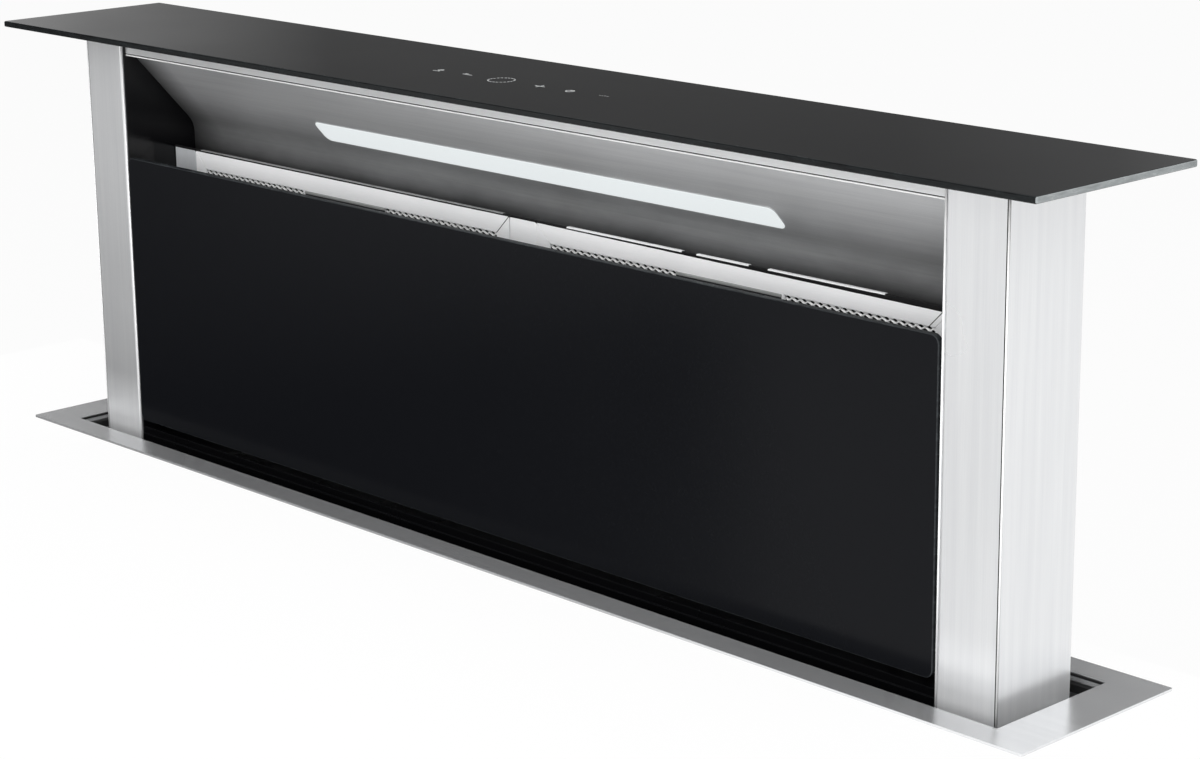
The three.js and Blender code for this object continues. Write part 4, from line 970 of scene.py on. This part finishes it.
def makeGasket():
    # black strip round the slot in the trim, and a lip under it that narrows the slot
    x, y, corner = gasket["x"], gasket["y"], gasket["corner"]
    clear, thick, top, foot = (gasket[k] for k in ("clear", "thick", "top", "foot"))
    edge, lip, lipTop, lipFoot = (gasket[k] for k in ("lipClear", "lip", "lipTop", "lipFoot"))

    def loop(inset, z):
        return [(a, b, z) for a, b in roundedLoop((-x, -y), (x, y), corner, inset)]

    bm = bmesh.new()
    addRings(bm, [loop(clear, foot), loop(clear, top), loop(gasket["soft"], top + gasket["soft"] / 2),
                  loop(thick, top - gasket["fall"]), loop(thick, foot), loop(clear, foot)], closeEnds=False)
    addRings(bm, [loop(edge, lipFoot), loop(edge, lipTop), loop(lip, lipTop - gasket["lipFall"]),
                  loop(lip, lipFoot), loop(edge, lipFoot)], closeEnds=False)
    bmesh.ops.remove_doubles(bm, verts=bm.verts, dist=1e-7)
    pieceFrom(bm, "slot_gasket", "casing", "rubber")


makeGasket()

screwPlaces = {
    "casingX": 418 * mm, "casingZ": (-60, -200, -340, -480, -600),
    "ledgeX": 414.2 * mm, "ledgeY": 24 * mm, "ledgeZ": -10.3 * mm,
    "backX": 352 * mm, "backZ": (262, 150, 40, -70), "backTopX": (-180, 0, 180),
    "coverY": (-22, 24), "coverZ": (-70, -100),
    "controlInset": 7 * mm,
    "clampSpread": 9 * mm, "clampZ": -78 * mm, "clampSheet": 2 * mm,
    "footY": 20 * mm, "footZ": -602 * mm, "footSheet": 2 * mm,
}
facing = {"front": Vector((0, -1, 0)), "back": Vector((0, 1, 0)), "up": Vector((0, 0, 1))}
bothSides = (-1, 1)


def makeCasingScrews():
    x, heights = screwPlaces["casingX"], screwPlaces["casingZ"]
    spots = []
    for way, y in (("front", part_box("casing_front")[0].y), ("back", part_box("casing_back")[1].y)):
        spots += [((s * x, y, z * mm), facing[way]) for s in bothSides for z in heights]
    spots += [((s * screwPlaces["ledgeX"], screwPlaces["ledgeY"], screwPlaces["ledgeZ"]), facing["up"])
              for s in bothSides]
    screwSet("casing_screws", "casing", spots)


def makeBackPanelScrews():
    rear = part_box("back_panel")[1].y
    x, heights = screwPlaces["backX"], screwPlaces["backZ"]
    places = [(s * x, z * mm) for s in bothSides for z in heights]
    places += [(across * mm, heights[0] * mm) for across in screwPlaces["backTopX"]]
    screwSet("back_panel_screws", "tower", [((a, rear, b), facing["back"]) for a, b in places], "small")


def makeCoverScrews():
    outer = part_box("column_cover_right")[1].x
    spots = [((s * outer, y * mm, z * mm), Vector((s, 0, 0))) for s in bothSides
             for y in screwPlaces["coverY"] for z in screwPlaces["coverZ"]]
    screwSet("column_cover_screws", "tower", spots, "small")


def makeControlScrews():
    low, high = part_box("control_cover")
    inset = screwPlaces["controlInset"]
    spots = [((x, low.y, z), facing["front"]) for x in (low.x + inset, high.x - inset)
             for z in (low.z + inset, high.z - inset)]
    screwSet("control_cover_screws", "casing", spots, "small")


def makeClampScrews():
    spots = []
    for way in ("front", "back"):
        for name in ("left", "right"):
            low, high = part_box("clamp_" + way + "_" + name)
            sheet = screwPlaces["clampSheet"]
            y = high.y - sheet if way == "front" else low.y + sheet
            spots += [(((low.x + high.x) / 2 + s * screwPlaces["clampSpread"], y, screwPlaces["clampZ"]),
                       facing[way]) for s in bothSides]
    screwSet("clamp_screws", "casing", spots)


def makeBracketScrews():
    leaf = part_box("floor_bracket_right")[0].x + screwPlaces["footSheet"]
    spots = [((s * leaf, y * screwPlaces["footY"], screwPlaces["footZ"]), Vector((s, 0, 0)))
             for s in bothSides for y in bothSides]
    screwSet("floor_bracket_screws", "casing", spots)


makeCasingScrews()
makeBackPanelScrews()
makeCoverScrews()
makeControlScrews()
makeClampScrews()
makeBracketScrews()
print("column edges and screws")


# stage: worktop board, floor, lamps, camera

stageSize = {
    "boardX": (-0.62, 0.62), "boardY": (-0.48, 0.09), "boardThick": 0.038, "boardUnder": 0.00005,
    "cutX": 0.428, "cutY": 0.056,
    "floorZ": -0.744, "floorUnder": 0.0005, "floorReach": 40.0,
    "tint": "#E4E4E4", "roughness": 0.9,
    "glow": 0.94,  # share of a surface that is seen as plain white
}


def stageFinish(name):
    mat, tree, shader = newMaterial(name)
    share = addNode(tree, "ShaderNodeMath", {"operation": "MULTIPLY"}, {1: stageSize["glow"]})
    tree.links.new(seenDirectly(tree), share.inputs[0])
    glow = addNode(tree, "ShaderNodeEmission", values={"Color": (1, 1, 1, 1), "Strength": 1.0})
    mix = addNode(tree, "ShaderNodeMixShader")
    shader.inputs["Base Color"].default_value = colour(stageSize["tint"])
    shader.inputs["Roughness"].default_value = stageSize["roughness"]
    shader.inputs["Specular IOR Level"].default_value = 0.0
    tree.links.new(share.outputs[0], mix.inputs["Fac"])
    tree.links.new(shader.outputs["BSDF"], mix.inputs[1])
    tree.links.new(glow.outputs["Emission"], mix.inputs[2])
    tree.links.new(mix.outputs["Shader"], tree.nodes["Material Output"].inputs["Surface"])
    return mat


def makeBoard():
    # worktop with the cut-out that the vent hangs in
    (x0, x1), (y0, y1) = stageSize["boardX"], stageSize["boardY"]
    cx, cy = stageSize["cutX"], stageSize["cutY"]
    foot, top = -stageSize["boardThick"], -stageSize["boardUnder"]
    bm = bmesh.new()
    strips = (((x0, y0), (x1, -cy)), ((x0, cy), (x1, y1)), ((x0, -cy), (-cx, cy)), ((cx, -cy), (x1, cy)))
    for low, high in strips:
        addBlock(bm, (*low, foot), (*high, top))
    board = meshObject(bm, "worktop_board", [stageFinish("boardWhite")])
    board.visible_glossy = False


def makeFloor():
    reach, z = stageSize["floorReach"], stageSize["floorZ"] - stageSize["floorUnder"]
    bm = bmesh.new()
    bm.faces.new([bm.verts.new((x * reach, y * reach, z)) for x, y in ((-1, -1), (1, -1), (1, 1), (-1, 1))])
    meshObject(bm, "studio_floor", [stageFinish("floorWhite")])


# grey cards that only reflections see; stops are (place on the axis, tone), a fade is its axis, its places
# and the share of the tone at each
flags = {
    "flag_back": {"corner": (-6.0, 2.6, 0.32), "along": (5.5, 0, 0), "up": (0, 0, 2.8), "axis": "X",
                  "stops": ((-4.9, 0.62), (-4.4, 0.4), (-3.5, 0.125), (-1.9, 0.12), (-1.45, 0.18),
                            (-1.3, 0.26)),
                  "fade": ("Z", (1.0, 1.15), (1.0, 0.32))},
    "flag_front": {"corner": (-1.5, 0.3, -0.74), "along": (0.558, -1.55, 0), "up": (0, 0, 0.89),
                   "axis": "Y", "stops": ((-1.25, 0.75), (-0.95, 0.36), (-0.6, 0.1), (0.3, 0.05)),
                   "fade": ("Z", (-0.25, 0.12), (0.25, 3.4))},
    "flag_side": {"corner": (-0.942, -1.25, -0.74), "along": (0.342, -0.95, 0), "up": (0, 0, 0.89),
                  "axis": "Y", "stops": ((-2.2, 0.9), (-1.25, 0.85))},
    "flag_high": {"corner": (-1.5, 0.3, 0.15), "along": (0.9, -2.5, 0), "up": (0, 0, 1.5), "axis": "Z",
                  "stops": ((0.2, 0.08), (1.6, 0.05))},
}


def flagGlow(name, card):
    # the tones along one axis, and on some cards a fade along another
    mat = bpy.data.materials.new(name)
    mat.use_nodes = True
    tree = mat.node_tree
    tree.nodes.remove(tree.nodes["Principled BSDF"])
    first, last = card["stops"][0][0], card["stops"][-1][0]
    ramp = addNode(tree, "ShaderNodeValToRGB")
    points = ramp.color_ramp.elements
    while len(points) < len(card["stops"]):
        points.new(0.5)
    for point, (place, tone) in zip(points, card["stops"]):
        point.position = (place - first) / (last - first)
        point.color = (tone, tone, tone, 1)
    tree.links.new(remap(tree, alongAxis(tree, card["axis"]), first, last), ramp.inputs["Fac"])
    glow = addNode(tree, "ShaderNodeEmission")
    tree.links.new(ramp.outputs["Color"], glow.inputs["Color"])
    if "fade" in card:
        axis, places, shares = card["fade"]
        tree.links.new(remap(tree, alongAxis(tree, axis), *places, *shares), glow.inputs["Strength"])
    tree.links.new(glow.outputs["Emission"], tree.nodes["Material Output"].inputs["Surface"])
    return mat


def makeFlag(name, card):
    corner, along, up = Vector(card["corner"]), Vector(card["along"]), Vector(card["up"])
    bm = bmesh.new()
    bm.faces.new([bm.verts.new(p) for p in (corner, corner + along, corner + along + up, corner + up)])
    flag = meshObject(bm, name, [flagGlow(name, card)])
    flag.visible_camera = False
    flag.visible_diffuse = False
    flag.visible_shadow = False
    flag.visible_transmission = False


lampSet = {
    "key": {"at": (2.6, -1.2, 2.2), "size": 2.2, "power": 58},
    "front": {"at": (0.5, -2.6, 1.0), "size": 1.8, "power": 62},
    "fill": {"at": (-2.4, -1.6, 1.8), "size": 2.4, "power": 20},
    "top": {"at": (0.2, 0.8, 3.0), "size": 3.0, "power": 34},
}


def makeLamps():
    for name, lamp in lampSet.items():
        data = bpy.data.lights.new(name, "AREA")
        data.energy = lamp["power"]
        data.size = lamp["size"]
        light = bpy.data.objects.new("lamp_" + name, data)
        light.location = lamp["at"]
        light.rotation_euler = (-Vector(lamp["at"])).to_track_quat("-Z", "Y").to_euler()
        light.visible_glossy = False
        scene.collection.objects.link(light)


worldLevel = {"light": 0.5, "seen": 1.0}


def makeWorld():
    world = bpy.data.worlds.new("studioWhite")
    scene.world = world
    world.use_nodes = True
    tree = world.node_tree
    level = remap(tree, seenDirectly(tree), 0, 1, worldLevel["light"], worldLevel["seen"])
    tree.links.new(level, tree.nodes["Background"].inputs["Strength"])
    tree.nodes["Background"].inputs["Color"].default_value = (1, 1, 1, 1)


photoView = {
    "lens": 85.2739, "sensor": 36.0,
    "at": (1.26496, -1.12411, 0.55322),
    "turn": (74.95466229, 0.63358422, 46.41050568),  # degrees about X, Y and Z
}


def makeCamera():
    data = bpy.data.cameras.new("photoCamera")
    data.lens = photoView["lens"]
    data.sensor_width = photoView["sensor"]
    camera = bpy.data.objects.new("photoCamera", data)
    camera.location = photoView["at"]
    camera.rotation_euler = [math.radians(a) for a in photoView["turn"]]
    scene.collection.objects.link(camera)
    scene.camera = camera


makeBoard()
makeFloor()
for name, card in flags.items():
    makeFlag(name, card)
makeLamps()
makeWorld()
makeCamera()
print("stage, lamps and camera")
